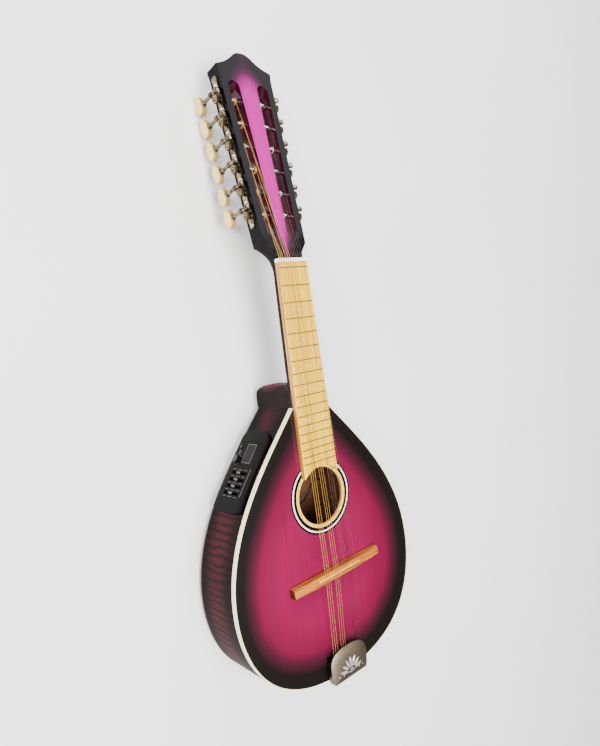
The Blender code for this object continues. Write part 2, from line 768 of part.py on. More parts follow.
def make_bracing(root, back):
    """Under each plate, the linings in its corners and the braces let into them, glued up as one frame."""
    across = Matrix(((1, 0, 0, 0), (0, 0, -1, 0), (0, 1, 0, 0), (0, 0, 0, 1)))
    half = lining_half()
    top = -SOUNDBOARD_THICKNESS - GAP
    linings = [prism([loop], top - TOP_LINING_HEIGHT, top) for loop in (half, mirrored(half))]
    bars = []
    for y in TOP_BRACES_Y:
        side = brace(brace_half(y), BRACE_HEIGHT, top, -1)
        bars.append(prism([side], -BRACE_WIDTH / 2, BRACE_WIDTH / 2, Matrix.Translation((0, y, 0)) @ across))
    part("top_bracing", combined(merged(linings), [merged(bars)], "UNION"), "bare_wood", root)

    low = BACK_THICKNESS + GAP
    linings = [prism([on_back(loop)], low, low + BACK_LINING_HEIGHT) for loop in (half, mirrored(half))]
    bars = []
    for y in BACK_BRACES_Y:
        side = brace(brace_half(y), BRACE_HEIGHT, low, 1)
        place = Matrix.Translation((0, (y - BODY_FRONT_Y) / math.cos(BACK_SLOPE), 0))
        bars.append(prism([side], -BRACE_WIDTH / 2, BRACE_WIDTH / 2, place @ across))
    part("back_bracing", combined(merged(linings), [merged(bars)], "UNION"), "bare_wood", back)


def neck_section(half, top, depth, roundness):
    """Points across the neck, round underneath and flat on top, from treble to bass."""
    points = []
    for i in range(NECK_SECTION_STEPS + 1):
        turn = math.pi * i / NECK_SECTION_STEPS
        across = math.copysign(abs(math.cos(turn)) ** (2 / roundness), math.cos(turn))
        down = abs(math.sin(turn)) ** (2 / roundness)
        points.append((half * across, top - depth * down))
    return points


def make_neck(root):
    """The shaft, its flare into the headstock and the heel, as one piece of wood."""
    rings = []
    shaft_end = BODY_FRONT_Y + 2 * GAP + HEEL_DROP
    for y, share in ((shaft_end, 1.0), (shaft_end / 2, 0.5), (0.0, 0.0)):
        depth = NECK_DEPTH_AT_NUT + (NECK_DEPTH_AT_HEEL - NECK_DEPTH_AT_NUT) * share
        section = neck_section(board_half(y), 0.0, depth, NECK_ROUNDNESS)
        rings.append([(x, y, z) for x, z in section])
    flare = HEAD_FOOT - GAP
    for along, widening, depth, roundness in HEAD_BLEND:
        half = NUT_HALF + (HEAD_FOOT_HALF - NUT_HALF) * widening
        section = neck_section(half, 0.0, HEAD_THICKNESS * depth, roundness)
        rings.append([on_head(x, along * flare, z) for x, z in section])
    shape = bmesh.new()
    loops = [[shape.verts.new(point) for point in ring] for ring in rings]
    for near, far in zip(loops, loops[1:]):
        for i in range(len(near)):
            j = (i + 1) % len(near)
            shape.faces.new((near[i], near[j], far[j], far[i]))
    shape.faces.new(loops[0])
    shape.faces.new(loops[-1])
    bmesh.ops.recalc_face_normals(shape, faces=shape.faces)
    shaft = bpy.data.meshes.new("shaft")
    shape.to_mesh(shaft)
    shape.free()

    heel_back = BODY_FRONT_Y + GAP
    nose_base = heel_back + HEEL_STRAIGHT
    nose = []
    power = 2 / HEEL_ROUNDNESS
    for i in range(HEEL_STEPS + 1):
        turn = math.pi * i / HEEL_STEPS
        across = math.copysign(abs(math.cos(turn)) ** power, math.cos(turn))
        nose.append((HEEL_HALF * across, nose_base + HEEL_NOSE * abs(math.sin(turn)) ** power))
    heel = prism([[(HEEL_HALF, heel_back)] + nose + [(-HEEL_HALF, heel_back)]], -FRONT_DEPTH, -HEEL_DROP)
    whole = combined(shaft, [heel], "UNION")
    groove_half = TRUSS_ROD_WIDTH / 2 + GAP
    floor = -TRUSS_ROD_DEPTH - GAP
    groove = block((-groove_half, TRUSS_ROD_END_Y - GAP, floor), (groove_half, GAP, GAP * 2))
    part("neck", combined(whole, [groove], "DIFFERENCE"), "lacquer_side", root)
    half = TRUSS_ROD_WIDTH / 2
    bar = block((-half, TRUSS_ROD_END_Y, -TRUSS_ROD_DEPTH), (half, 0.0, 0.0))
    part("truss_rod", bar, "steel", root)


def make_fingerboard(root):
    """The board with its concave end round the rosette and the frets pressed into it."""
    tip_y = HOLE_Y + math.sqrt(BOARD_END_RADIUS ** 2 - BOARD_END_HALF ** 2)
    swing = math.asin(BOARD_END_HALF / BOARD_END_RADIUS)
    arc = []
    for i in range(13):
        turn = swing * (1 - i / 6)
        arc.append((BOARD_END_RADIUS * math.sin(turn), HOLE_Y + BOARD_END_RADIUS * math.cos(turn)))
    outline = [(board_half(BOARD_HEAD_Y), BOARD_HEAD_Y), (board_half(tip_y), tip_y)] + arc
    outline += [(-board_half(tip_y), tip_y), (-board_half(BOARD_HEAD_Y), BOARD_HEAD_Y)]
    board = prism([outline], GAP, BOARD_TOP)
    frets = []
    for number in range(FRET_COUNT + 1):
        y = fret_y(number)
        half = board_half(y) - FRET_INSET
        crown = [(y + u * FRET_WIDTH, BOARD_TOP + v * FRET_HEIGHT) for u, v in FRET_CROWN]
        frets.append(prism([crown], -half, half, ALONG_X))
    part("fingerboard", combined(board, [merged(frets)], "UNION"), "maple_board", root)


def string_places():
    """For each string: its course, radius and X at the nut, the saddle and the tailpiece."""
    places = []
    for course in range(COURSES):
        for string in range(STRINGS_A_COURSE):
            across = course - (COURSES - 1) / 2
            beside = string - (STRINGS_A_COURSE - 1) / 2
            places.append({
                "course": course,
                "radius": STRING_RADII[course],
                "nut": NUT_COURSE_X + NUT_COURSE_PITCH * across + NUT_STRING_PITCH * beside,
                "saddle": BRIDGE_COURSE_X + BRIDGE_COURSE_PITCH * across + BRIDGE_STRING_PITCH * beside,
                "hook": TAIL_COURSE_X + TAIL_COURSE_PITCH * across + TAIL_STRING_PITCH * beside,
            })
    return places


def nut_string_z(radius):
    """Height of a string's centre over the zero fret and through the nut."""
    return FRET_TOP + GAP + radius


def make_nut(root):
    """The nut behind the zero fret, with a slot for each string."""
    body = block((-NUT_HALF, NUT_Y, GAP), (NUT_HALF, NUT_Y + NUT_LENGTH, NUT_TOP))
    slots = []
    for place in string_places():
        reach = place["radius"] + NUT_SLOT_SIDE_GAP
        floor = nut_string_z(place["radius"]) - place["radius"] - GAP
        low = (place["nut"] - reach, NUT_Y - GAP, floor)
        slots.append(block(low, (place["nut"] + reach, NUT_Y + NUT_LENGTH + GAP, NUT_TOP + GAP)))
    part("nut", combined(body, [merged(slots)], "DIFFERENCE"), "bone", root)


def make_headstock(head):
    """The slotted head, bored for the rollers and the plate screws."""
    half = [(HEAD_FOOT_HALF, HEAD_FOOT), (HEAD_TOP_HALF, HEAD_SIDE_END), HEAD_CORNER] + list(CREST_HALF)
    outline = half + mirrored(half)
    direction = Vector(SLOT_TOP) - Vector(SLOT_FOOT)
    lean = math.atan2(direction.y, direction.x)
    slot = []
    for centre, start in ((SLOT_TOP, lean - math.pi / 2), (SLOT_FOOT, lean + math.pi / 2)):
        for i in range(9):
            turn = start + math.pi * i / 8
            slot.append((centre[0] + SLOT_RADIUS * math.cos(turn), centre[1] + SLOT_RADIUS * math.sin(turn)))
    board = prism([outline, slot, mirrored(slot)], -HEAD_THICKNESS, 0.0)
    bores = []
    for axes, side in side_frames():
        for along in roller_places():
            spot = axes @ Matrix.Translation((along, -side * ROLLER_DEPTH, 0))
            bores.append(rod(ROLLER_RADIUS + RUNNING_GAP, -ROLLER_LENGTH - GAP, 2 * GAP, 12, spot))
        for along in screw_places():
            spot = axes @ Matrix.Translation((along, -side * PLATE_DEPTH, 0))
            bores.append(rod(SCREW_SHANK_RADIUS + GAP, -SCREW_LENGTH - GAP, 2 * GAP, SCREW_SIDES, spot))
    part("headstock", combined(board, [merged(bores)], "DIFFERENCE"), "lacquer_head", head)


def side_frames():
    """The frames of the head's two side faces: X along the side, Z outwards, with the side's sign."""
    frames = []
    lean, out = math.sin(SIDE_ANGLE), math.cos(SIDE_ANGLE)
    for side in (1, -1):
        axes = Matrix((
            (side * lean, 0, side * out, side * HEAD_FOOT_HALF),
            (out, 0, -lean, HEAD_FOOT),
            (0, side, 0, 0),
            (0, 0, 0, 1),
        ))
        frames.append((axes, side))
    return frames


def roller_places():
    """Distances of the rollers along the side faces."""
    first = TUNER_START - HEAD_FOOT
    return [(first + TUNER_PITCH * i) / math.cos(SIDE_ANGLE) for i in range(TUNERS_A_SIDE)]


def screw_places():
    """Distances of the plate's screws along the side faces: one by each roller, and one at the foot."""
    first = roller_places()[0] + PLATE_SCREW_OFFSET
    return [first + TUNER_PITCH * (i - 1) for i in range(TUNERS_A_SIDE + 1)]


def gear_outline():
    """The worm wheel's toothed outline."""
    points = []
    for i in range(GEAR_TEETH * 2):
        radius = GEAR_TIP_RADIUS if i % 2 == 0 else GEAR_ROOT_RADIUS
        turn = math.pi * i / GEAR_TEETH
        points.append((radius * math.cos(turn), radius * math.sin(turn)))
    return points


def roller_mesh():
    """A roller with its worm wheel: it lies along Z, the wheel outside the head."""
    gear_low = WORM_STANDOFF - GEAR_WIDTH / 2
    gear_high = WORM_STANDOFF + GEAR_WIDTH / 2
    cap = gear_high + ROLLER_CAP_LENGTH
    profile = [
        (0.0, cap), (ROLLER_NECK_RADIUS, cap), (ROLLER_NECK_RADIUS, -GAP),
        (ROLLER_RADIUS, -GAP), (ROLLER_RADIUS, -ROLLER_LENGTH), (0.0, -ROLLER_LENGTH),
    ]
    return combined(turned(profile, ROLLER_SIDES), [prism([gear_outline()], gear_low, gear_high)], "UNION")


def key_mesh():
    """A tuning key: worm, shaft and oval button, down from the head's face along -Z."""
    worm_top = -ROLLER_DEPTH + WORM_LENGTH / 2
    worm_low = -ROLLER_DEPTH - WORM_LENGTH / 2
    profile = [
        (0.0, worm_top + EAR_THICKNESS), (KEY_PIVOT_RADIUS, worm_top + EAR_THICKNESS),
        (KEY_PIVOT_RADIUS, worm_top), (WORM_RADIUS, worm_top), (WORM_RADIUS, worm_low),
        (KEY_SHAFT_RADIUS, worm_low), (KEY_SHAFT_RADIUS, -KEY_REACH), (0.0, -KEY_REACH),
    ]
    shape = bmesh.new()
    bmesh.ops.create_cone(shape, cap_ends=True, segments=BUTTON_SIDES, radius1=1.0, radius2=1.0, depth=1.0)
    across = Matrix.Rotation(math.pi / 2, 4, "Y")
    size = Matrix.Diagonal((BUTTON_THICKNESS, BUTTON_HALF_LENGTH, BUTTON_HALF_HEIGHT, 1))
    move = Matrix.Translation((0, 0, -KEY_REACH)) @ size @ across
    bmesh.ops.transform(shape, matrix=move, verts=shape.verts)
    rims = [e for e in shape.edges if abs(e.verts[0].co.x - e.verts[1].co.x) < GAP / 10]
    bmesh.ops.bevel(shape, geom=rims, offset=BUTTON_ROUNDING, segments=1, affect="EDGES")
    button = bpy.data.meshes.new("button")
    shape.to_mesh(button)
    shape.free()
    return combined(turned(profile, KEY_SIDES), [button], "UNION")


def make_plate(name, head, axes, side):
    """A side plate with the ears that hold the worms and the screws that hold it to the head."""
    low = PLATE_START - HEAD_FOOT
    high = PLATE_END - HEAD_FOOT
    reach = PLATE_WIDTH / 2
    chamfer = reach / 3
    middle = -side * PLATE_DEPTH
    outline = [(low + chamfer, middle - reach), (high - chamfer, middle - reach),
               (high, middle - reach + chamfer), (high, middle + reach - chamfer),
               (high - chamfer, middle + reach), (low + chamfer, middle + reach),
               (low, middle + reach - chamfer), (low, middle - reach + chamfer)]
    sheet = prism([outline], GAP, GAP + PLATE_THICKNESS)
    neck = ROLLER_NECK_RADIUS + RUNNING_GAP
    ears = []
    bores = []
    edge = WORM_LENGTH / 2 + GAP
    for x in roller_places():
        seat = Matrix.Translation((x, -side * ROLLER_DEPTH, 0))
        bores.append(rod(neck, 0, GAP + PLATE_THICKNESS * 2, ROLLER_SIDES, seat))
        worm_x = x + WORM_OFFSET
        for away in (-1, 1):
            near = -side * ROLLER_DEPTH + away * edge
            far = near + away * EAR_THICKNESS
            y0, y1 = min(near, far), max(near, far)
            ears.append(block((worm_x - EAR_HALF_WIDTH, y0, GAP + PLATE_THICKNESS / 2),
                              (worm_x + EAR_HALF_WIDTH, y1, WORM_STANDOFF + EAR_OVERHANG)))
            shaft = KEY_PIVOT_RADIUS if away == side else KEY_SHAFT_RADIUS
            spot = Matrix.Translation((worm_x, 0, WORM_STANDOFF)) @ Matrix.Rotation(math.pi / 2, 4, "X")
            bores.append(rod(shaft + RUNNING_GAP, -y1 - GAP, -y0 + GAP, KEY_SIDES, spot))
    seats = [Matrix.Translation((x, middle, GAP + PLATE_THICKNESS)) for x in screw_places()]
    screws = [screw_mesh(seat) for seat in seats]
    solid = combined(sheet, [merged(ears), merged(screws)], "UNION")
    solid = combined(solid, [merged(bores)], "DIFFERENCE")
    solid.transform(axes)
    part(name, solid, "nickel", head)


def make_tuners(head):
    """Plates, rollers and keys on both sides of the head."""
    roller = roller_mesh()
    key = key_mesh()
    for axes, side in side_frames():
        name = "treble" if side > 0 else "bass"
        make_plate("tuner_plate_" + name, head, axes, side)
        for i, along in enumerate(roller_places()):
            spot = axes @ Matrix.Translation((along, -side * ROLLER_DEPTH, 0))
            obj = part(f"roller_{name}_{i + 1}", roller, "steel", head)
            obj.matrix_local = spot
            spot = axes @ Matrix.Translation((along + WORM_OFFSET, 0, WORM_STANDOFF))
            turn = Matrix.Rotation(-side * SIDE_ANGLE, 4, "Z")
            obj = part(f"key_{name}_{i + 1}", key, "button", head)
            obj.matrix_local = Matrix.Translation(spot.translation) @ turn


def make_bridge(root):
    """The floating bridge: a bar with lowered ends, and the saddle let into its top."""
    half = BRIDGE_LENGTH / 2
    side = [(-half, GAP), (half, GAP), (half, BRIDGE_END_HEIGHT), (half - BRIDGE_WING, BRIDGE_TOP),
            (BRIDGE_WING - half, BRIDGE_TOP), (-half, BRIDGE_END_HEIGHT)]
    across = Matrix(((1, 0, 0, 0), (0, 0, -1, 0), (0, 1, 0, 0), (0, 0, 0, 1)))
    turn = Matrix.Rotation(BRIDGE_TURN, 4, "Z")
    bar = prism([side], -BRIDGE_WIDTH / 2, BRIDGE_WIDTH / 2, across)
    bar.transform(Matrix.Translation((BRIDGE_X, BRIDGE_Y, 0)) @ turn)
    reach, width = SADDLE_LENGTH / 2, SADDLE_WIDTH / 2
    floor = SADDLE_TOP - SADDLE_DEPTH
    crown = width / 3
    section = [(-width, floor), (width, floor), (width, SADDLE_TOP - crown), (crown, SADDLE_TOP),
               (-crown, SADDLE_TOP), (-width, SADDLE_TOP - crown)]
    seat = Matrix.Translation((SADDLE_X, SADDLE_Y, 0)) @ turn
    groove = block((-reach - GAP, -width - GAP, floor - GAP), (reach + GAP, width + GAP, SADDLE_TOP))
    groove.transform(seat)
    part("bridge", combined(bar, [groove], "DIFFERENCE"), "bridge_wood", root)
    saddle = prism([section], -reach, reach, ALONG_X)
    saddle.transform(seat)
    part("saddle", saddle, "bone", root)


def saddle_y(x):
    """Y of the saddle's crown at a given X."""
    return SADDLE_Y + (x - SADDLE_X) * math.tan(BRIDGE_TURN)


def make_tailpiece(root):
    """The base plate with its leg and hooks, and the sliding cover."""
    top = GAP + TAILPIECE_SHEET
    left, right = TAILPIECE_X - TAILPIECE_BASE_HALF, TAILPIECE_X + TAILPIECE_BASE_HALF
    leg_y = TAIL_Y - GAP
    plate = prism([rectangle(left, right, leg_y - TAILPIECE_SHEET / 2, TAILPIECE_FRONT_Y)], GAP, top)
    leg = block((TAILPIECE_X - TAILPIECE_LEG_HALF, leg_y - TAILPIECE_SHEET, -TAILPIECE_LEG_DEPTH),
                (TAILPIECE_X + TAILPIECE_LEG_HALF, leg_y, GAP + TAILPIECE_SHEET / 2))
    lean = Matrix.Rotation(math.radians(10), 4, "X")
    hooks = []
    for place in string_places():
        spot = Matrix.Translation((place["hook"], HOOK_Y, GAP)) @ lean
        hooks.append(rod(HOOK_RADIUS, GAP, GAP + HOOK_HEIGHT + TAILPIECE_SHEET, HOOK_SIDES, spot))
    base = combined(plate, [leg, merged(hooks)], "UNION")
    screws = [screw_mesh(axes) for axes in tailpiece_screws()]
    part("tailpiece_base", combined(base, [merged(screws)], "UNION"), "nickel", root)
    make_cover(root)


def tailpiece_screws():
    """Frames of the tailpiece's screws, on the outer face of its sheet, Z outwards."""
    top = GAP + TAILPIECE_SHEET
    frames = []
    for side in (-1, 1):
        x = TAILPIECE_X + side * (TAILPIECE_BASE_HALF - 3 * SCREW_HEAD_RADIUS)
        frames.append(Matrix.Translation((x, HOOK_Y - 5 * SCREW_HEAD_RADIUS, top)))
        x = TAILPIECE_X + side * TAILPIECE_LEG_HALF / 2
        place = Matrix.Translation((x, TAIL_Y - GAP - TAILPIECE_SHEET, -TAILPIECE_LEG_DEPTH * 0.7))
        frames.append(place @ OUT_OF_TAIL)
    return frames


def cover_rim(turn):
    """A point of the cover's rim in plan: round in front, straight sides and rear."""
    across = math.copysign(abs(math.cos(turn)) ** (2 / COVER_ROUNDNESS), math.cos(turn))
    if math.sin(turn) >= 0:
        reach = (COVER_FRONT_Y - COVER_SHOULDER_Y) * math.sin(turn) ** (2 / COVER_ROUNDNESS)
    else:
        across = math.copysign(min(1.0, abs(math.cos(turn)) ** 0.25), math.cos(turn))
        reach = (COVER_REAR_Y - COVER_SHOULDER_Y) * min(1.0, 1.25 * abs(math.sin(turn)))
    return TAILPIECE_X + COVER_HALF * across, COVER_SHOULDER_Y + reach


def make_cover(root):
    """The stamped cover: a low dome with a skirt at its sides and rear, open in front."""
    shape = bmesh.new()
    centre = (TAILPIECE_X, COVER_SHOULDER_Y)
    rings = []
    for share, drop in COVER_RINGS:
        z = COVER_RIM_HEIGHT + COVER_CROWN * (1 - drop)
        ring = []
        for i in range(COVER_STEPS):
            x, y = cover_rim(2 * math.pi * i / COVER_STEPS)
            px = centre[0] + (x - centre[0]) * share
            py = centre[1] + (y - centre[1]) * share
            ring.append(shape.verts.new((px, py, z)))
        rings.append(ring)
    crown = shape.verts.new((centre[0], centre[1], COVER_RIM_HEIGHT + COVER_CROWN))
    for i in range(COVER_STEPS):
        j = (i + 1) % COVER_STEPS
        shape.faces.new((crown, rings[0][i], rings[0][j]))
        for inner, outer in zip(rings, rings[1:]):
            shape.faces.new((inner[i], outer[i], outer[j], inner[j]))
    skirt = []
    sides = GAP * 2
    rear = GAP + TAILPIECE_SHEET + GAP
    for i, vertex in enumerate(rings[-1]):
        turn = 2 * math.pi * i / COVER_STEPS
        if math.sin(turn) > COVER_OPEN_SINE:
            low = COVER_RIM_HEIGHT - 2 * COVER_SHEET
        elif abs(vertex.co.x - centre[0]) > TAILPIECE_BASE_HALF + COVER_SHEET + GAP:
            low = sides
        else:
            low = rear
        skirt.append(shape.verts.new((vertex.co.x, vertex.co.y, low)))
    for i in range(COVER_STEPS):
        j = (i + 1) % COVER_STEPS
        shape.faces.new((rings[-1][i], skirt[i], skirt[j], rings[-1][j]))
    bmesh.ops.recalc_face_normals(shape, faces=shape.faces)
    mesh = bpy.data.meshes.new("cover")
    shape.to_mesh(mesh)
    shape.free()
    obj = bpy.data.objects.new("cover", mesh)
    sheet = obj.modifiers.new("sheet", "SOLIDIFY")
    sheet.thickness = COVER_SHEET
    sheet.offset = -1
    part("tailpiece_cover", tidied(evaluated_mesh(obj)), "nickel", root)


def screw_mesh(axes):
    """A domed screw drawn tight on the face at the frame's origin, its head along +Z."""
    seat = -PLATE_THICKNESS / 4
    profile = [
        (0.0, SCREW_HEAD_HEIGHT), (SCREW_HEAD_RADIUS * 0.6, SCREW_HEAD_HEIGHT * 0.9),
        (SCREW_HEAD_RADIUS, seat), (SCREW_SHANK_RADIUS, seat), (0.0, -SCREW_LENGTH),
    ]
    return turned(profile, SCREW_SIDES, axes)


def string_route(index, place):
    """A string from its hook, over the saddle and the zero fret, through the nut to its roller."""
    radius = place["radius"]
    count = COURSES * STRINGS_A_COURSE
    outward = -1 if index < count / 2 else 1
    order = index if outward < 0 else count - 1 - index
    roller = TUNER_START + TUNER_PITCH * ROLLER_OF_STRING[order]
    roller_x = outward * ROLLER_STRING_X[order]
    over_roller = -ROLLER_DEPTH + ROLLER_RADIUS + GAP + radius
    hook_z = STRING_HOOK_HEIGHT
    saddle_place = (place["saddle"], saddle_y(place["saddle"]), SADDLE_TOP + GAP + radius)
    level = nut_string_z(radius)
    nut_y = NUT_Y + NUT_LENGTH / 2
    start_y = HOOK_Y + 2 * HOOK_RADIUS + 2 * GAP
    start = [(place["hook"], start_y, hook_z)]
    x = place["nut"]
    zero = [(x, 0.0, level), (x, nut_y, level), (x, NUT_Y + NUT_LENGTH, level - GAP / 2)]
    end = [on_head(roller_x, roller, over_roller)]
    return start + [saddle_place] + zero + end


def make_strings(root):
    """Four courses of three strings, each course held together by the bar that lies against its hooks."""
    wires = [[] for _ in range(COURSES)]
    places = string_places()
    for index, place in enumerate(places):
        wires[place["course"]].append(tube(string_route(index, place), place["radius"]))
    start_y = HOOK_Y + 2 * HOOK_RADIUS + GAP
    for course, group in enumerate(wires):
        hooks = [place["hook"] for place in places if place["course"] == course]
        reach = STRING_BAR / 2
        bar = block((min(hooks) - reach, start_y, STRING_HOOK_HEIGHT - reach),
                    (max(hooks) + reach, start_y + STRING_BAR, STRING_HOOK_HEIGHT + reach))
        material = "wound_string" if course < COURSES / 2 else "plain_string"
        part(f"string_course_{course + 1}", combined(bar, group, "UNION"), material, root)


def panel_outline(start, end):
    """The preamp's face between two places along it: a rounded nose in front, soft corners behind."""
    half = PANEL_HEIGHT / 2
    upper = []
    for i in range(PANEL_NOSE_STEPS + 1):
        turn = math.pi / 2 * i / PANEL_NOSE_STEPS
        rise = math.sin(turn) ** PANEL_NOSE_POWER
        upper.append((PANEL_NOSE * (1 - math.cos(turn)), half * rise))
    upper.append((PANEL_LENGTH - PANEL_CORNER, half))
    for i in range(1, PANEL_CORNER_STEPS + 1):
        turn = math.pi / 2 * i / PANEL_CORNER_STEPS
        x = PANEL_LENGTH - PANEL_CORNER * (1 - math.sin(turn))
        upper.append((x, half - PANEL_CORNER * (1 - math.cos(turn))))
    upper.append((PANEL_LENGTH + PANEL_BULGE, 0.0))
    lower = [(x, -y) for x, y in reversed(upper[1:-1])]
    loop = upper + lower
    whole = [(x, PANEL_CENTRE_Z + y) for x, y in loop]
    closed = whole + [whole[0]]
    kept = clipped(clipped(closed, 0, start, True), 0, end, False)
    unique = []
    for point in kept:
        if not unique or math.dist(unique[-1], point) > GAP / 10:
            unique.append(point)
    if math.dist(unique[0], unique[-1]) < GAP / 10:
        unique.pop()
    return unique


def wall_cutter(wall_axes):
    """The body's outer form, grown by a gap, in the preamp's wall frame."""
    path = side_path(-GAP)
    grown = path + mirrored(path[:-1])
    solid = prism([grown], back_plane_z(TAIL_Y), BOARD_TOP)
    solid.transform(wall_axes.inverted())
    return solid


def make_preamp(wall, wall_axes):
    """Housing through the rib, face panel, display, controls, battery and its door."""
    body = wall_cutter(wall_axes)
    window = rectangle(DISPLAY_START, DISPLAY_START + DISPLAY_LENGTH, DISPLAY_Z - DISPLAY_HEIGHT / 2,
                       DISPLAY_Z + DISPLAY_HEIGHT / 2)
    slider_x = [SLIDER_START + SLIDER_PITCH * i for i in range(SLIDER_COUNT)]
    slot_half = SLIDER_SLOT_WIDTH / 2
    slots = [rectangle(x - slot_half, x + slot_half, SLIDER_Z - SLIDER_SLOT_LENGTH / 2,
                       SLIDER_Z + SLIDER_SLOT_LENGTH / 2) for x in slider_x]
    holes = [circle(KNOB_X, KNOB_Z, KNOB_SHAFT_RADIUS + RUNNING_GAP, KNOB_SIDES),
             circle(TUNER_BUTTON_X, TUNER_BUTTON_Z, TUNER_BUTTON_RADIUS + RUNNING_GAP, TUNER_BUTTON_SIDES)]
    outline = panel_outline(DOOR_LENGTH + GAP, 2 * PANEL_LENGTH)
    face = prism([outline] + slots + holes, -PANEL_FACE, PANEL_FACE)
    recess = prism([[(x + dx * GAP, y + dy * GAP) for (x, y), (dx, dy) in
                     zip(window, ((-1, -1), (1, -1), (1, 1), (-1, 1)))]],
                   PANEL_FACE - DISPLAY_THICKNESS - GAP, PANEL_FACE + DISPLAY_THICKNESS)
    part("preamp_panel", combined(face, [body, recess], "DIFFERENCE"), "black_plastic", wall)

    door = prism([panel_outline(-PANEL_LENGTH, DOOR_LENGTH)], -PANEL_FACE, PANEL_FACE)
    door = combined(door, [body], "DIFFERENCE")
    door.transform(Matrix.Translation((-DOOR_LENGTH, -PANEL_CENTRE_Z, -PANEL_FACE)))
    part("battery_door", door, "black_plastic", wall, (DOOR_LENGTH, PANEL_CENTRE_Z, PANEL_FACE))
    make_housing(wall, body)
    make_controls(wall, slider_x)


def make_housing(wall, body):
    """The tray behind the panel, deeper at its nose end where the battery goes in."""
    start, end = HOUSING_MARGIN, PANEL_LENGTH - HOUSING_MARGIN
    low, high = PANEL_CENTRE_Z - HOUSING_HEIGHT / 2, PANEL_CENTRE_Z + HOUSING_HEIGHT / 2
    bay_end = start + 2 * HOUSING_WALL + BATTERY_WIDTH + 2 * GAP
    bay_depth = BATTERY_LENGTH + 2 * HOUSING_WALL + RIB_THICKNESS
    tray = block((start, low, -HOUSING_DEPTH), (end, high, 0.0))
    bay = block((start, low, -bay_depth), (bay_end, high, -HOUSING_DEPTH / 2))
    hollow = block((start + HOUSING_WALL, low + HOUSING_WALL, -HOUSING_DEPTH + HOUSING_WALL),
                   (end - HOUSING_WALL, high - HOUSING_WALL, HOUSING_DEPTH))
    pocket = block((start + HOUSING_WALL, low + HOUSING_WALL, -bay_depth + HOUSING_WALL),
                   (bay_end - HOUSING_WALL, high - HOUSING_WALL, -HOUSING_DEPTH / 2))
    solid = combined(tray, [bay], "UNION")
    solid = combined(solid, [hollow, pocket], "DIFFERENCE")
    part("preamp_housing", solid, "black_plastic", wall)
    x0 = start + HOUSING_WALL + GAP
    y0 = low + HOUSING_WALL + GAP
    z0 = -bay_depth + HOUSING_WALL + GAP
    battery = block((x0, y0, z0), (x0 + BATTERY_WIDTH, y0 + BATTERY_HEIGHT, z0 + BATTERY_LENGTH))
    part("battery", battery, "battery", wall)


def make_controls(wall, slider_x):
    """Volume knob, tuner button and the four sliders, each about its own joint."""
    knob = [(0.0, KNOB_HEIGHT), (KNOB_RADIUS * 0.85, KNOB_HEIGHT), (KNOB_RADIUS, KNOB_HEIGHT * 0.8),
            (KNOB_RADIUS, GAP), (KNOB_SHAFT_RADIUS, GAP), (KNOB_SHAFT_RADIUS, -SLIDER_STEM_DEPTH),
            (0.0, -SLIDER_STEM_DEPTH)]
    part("volume_knob", turned(knob, KNOB_SIDES), "black_plastic", wall, (KNOB_X, KNOB_Z, PANEL_FACE))
    rise = TUNER_BUTTON_STROKE + GAP
    button = [(0.0, rise), (TUNER_BUTTON_RADIUS * 0.8, rise), (TUNER_BUTTON_RADIUS, rise * 0.6),
              (TUNER_BUTTON_RADIUS, -SLIDER_STEM_DEPTH), (0.0, -SLIDER_STEM_DEPTH)]
    place = (TUNER_BUTTON_X, TUNER_BUTTON_Z, PANEL_FACE)
    part("tuner_button", turned(button, TUNER_BUTTON_SIDES), "black_plastic", wall, place)
    thumb, stem = SLIDER_THUMB / 2, SLIDER_STEM / 2
    thick = SLIDER_SLOT_WIDTH / 2 - RUNNING_GAP
    outline = [(-stem, -SLIDER_STEM_DEPTH), (stem, -SLIDER_STEM_DEPTH), (stem, GAP), (thumb, GAP),
               (stem, SLIDER_THUMB_HEIGHT), (-stem, SLIDER_THUMB_HEIGHT), (-thumb, GAP), (-stem, GAP)]
    for i, x in enumerate(slider_x):
        slider = prism([outline], -thick, thick, ALONG_X)
        part(f"eq_slider_{i + 1}", slider, "black_plastic", wall, (x, SLIDER_Z, PANEL_FACE))


def smooth_route(points):
    """Points along a smooth curve through the route's own points."""
    path = [Vector(p) for p in points]
    padded = [path[0] * 2 - path[1]] + path + [path[-1] * 2 - path[-2]]
    route = [path[0]]
    for before, start, end, after in zip(padded, padded[1:], padded[2:], padded[3:]):
        leave = (end - before) / 6
        arrive = (after - start) / 6
        route += bezier(start, start + leave, end - arrive, end, LEAD_STEPS)
    return route


def in_body(route):
    """A lead's route from the body's front edge, in the instrument's frame."""
    return [(x, BODY_FRONT_Y + y, z) for x, y, z in route]


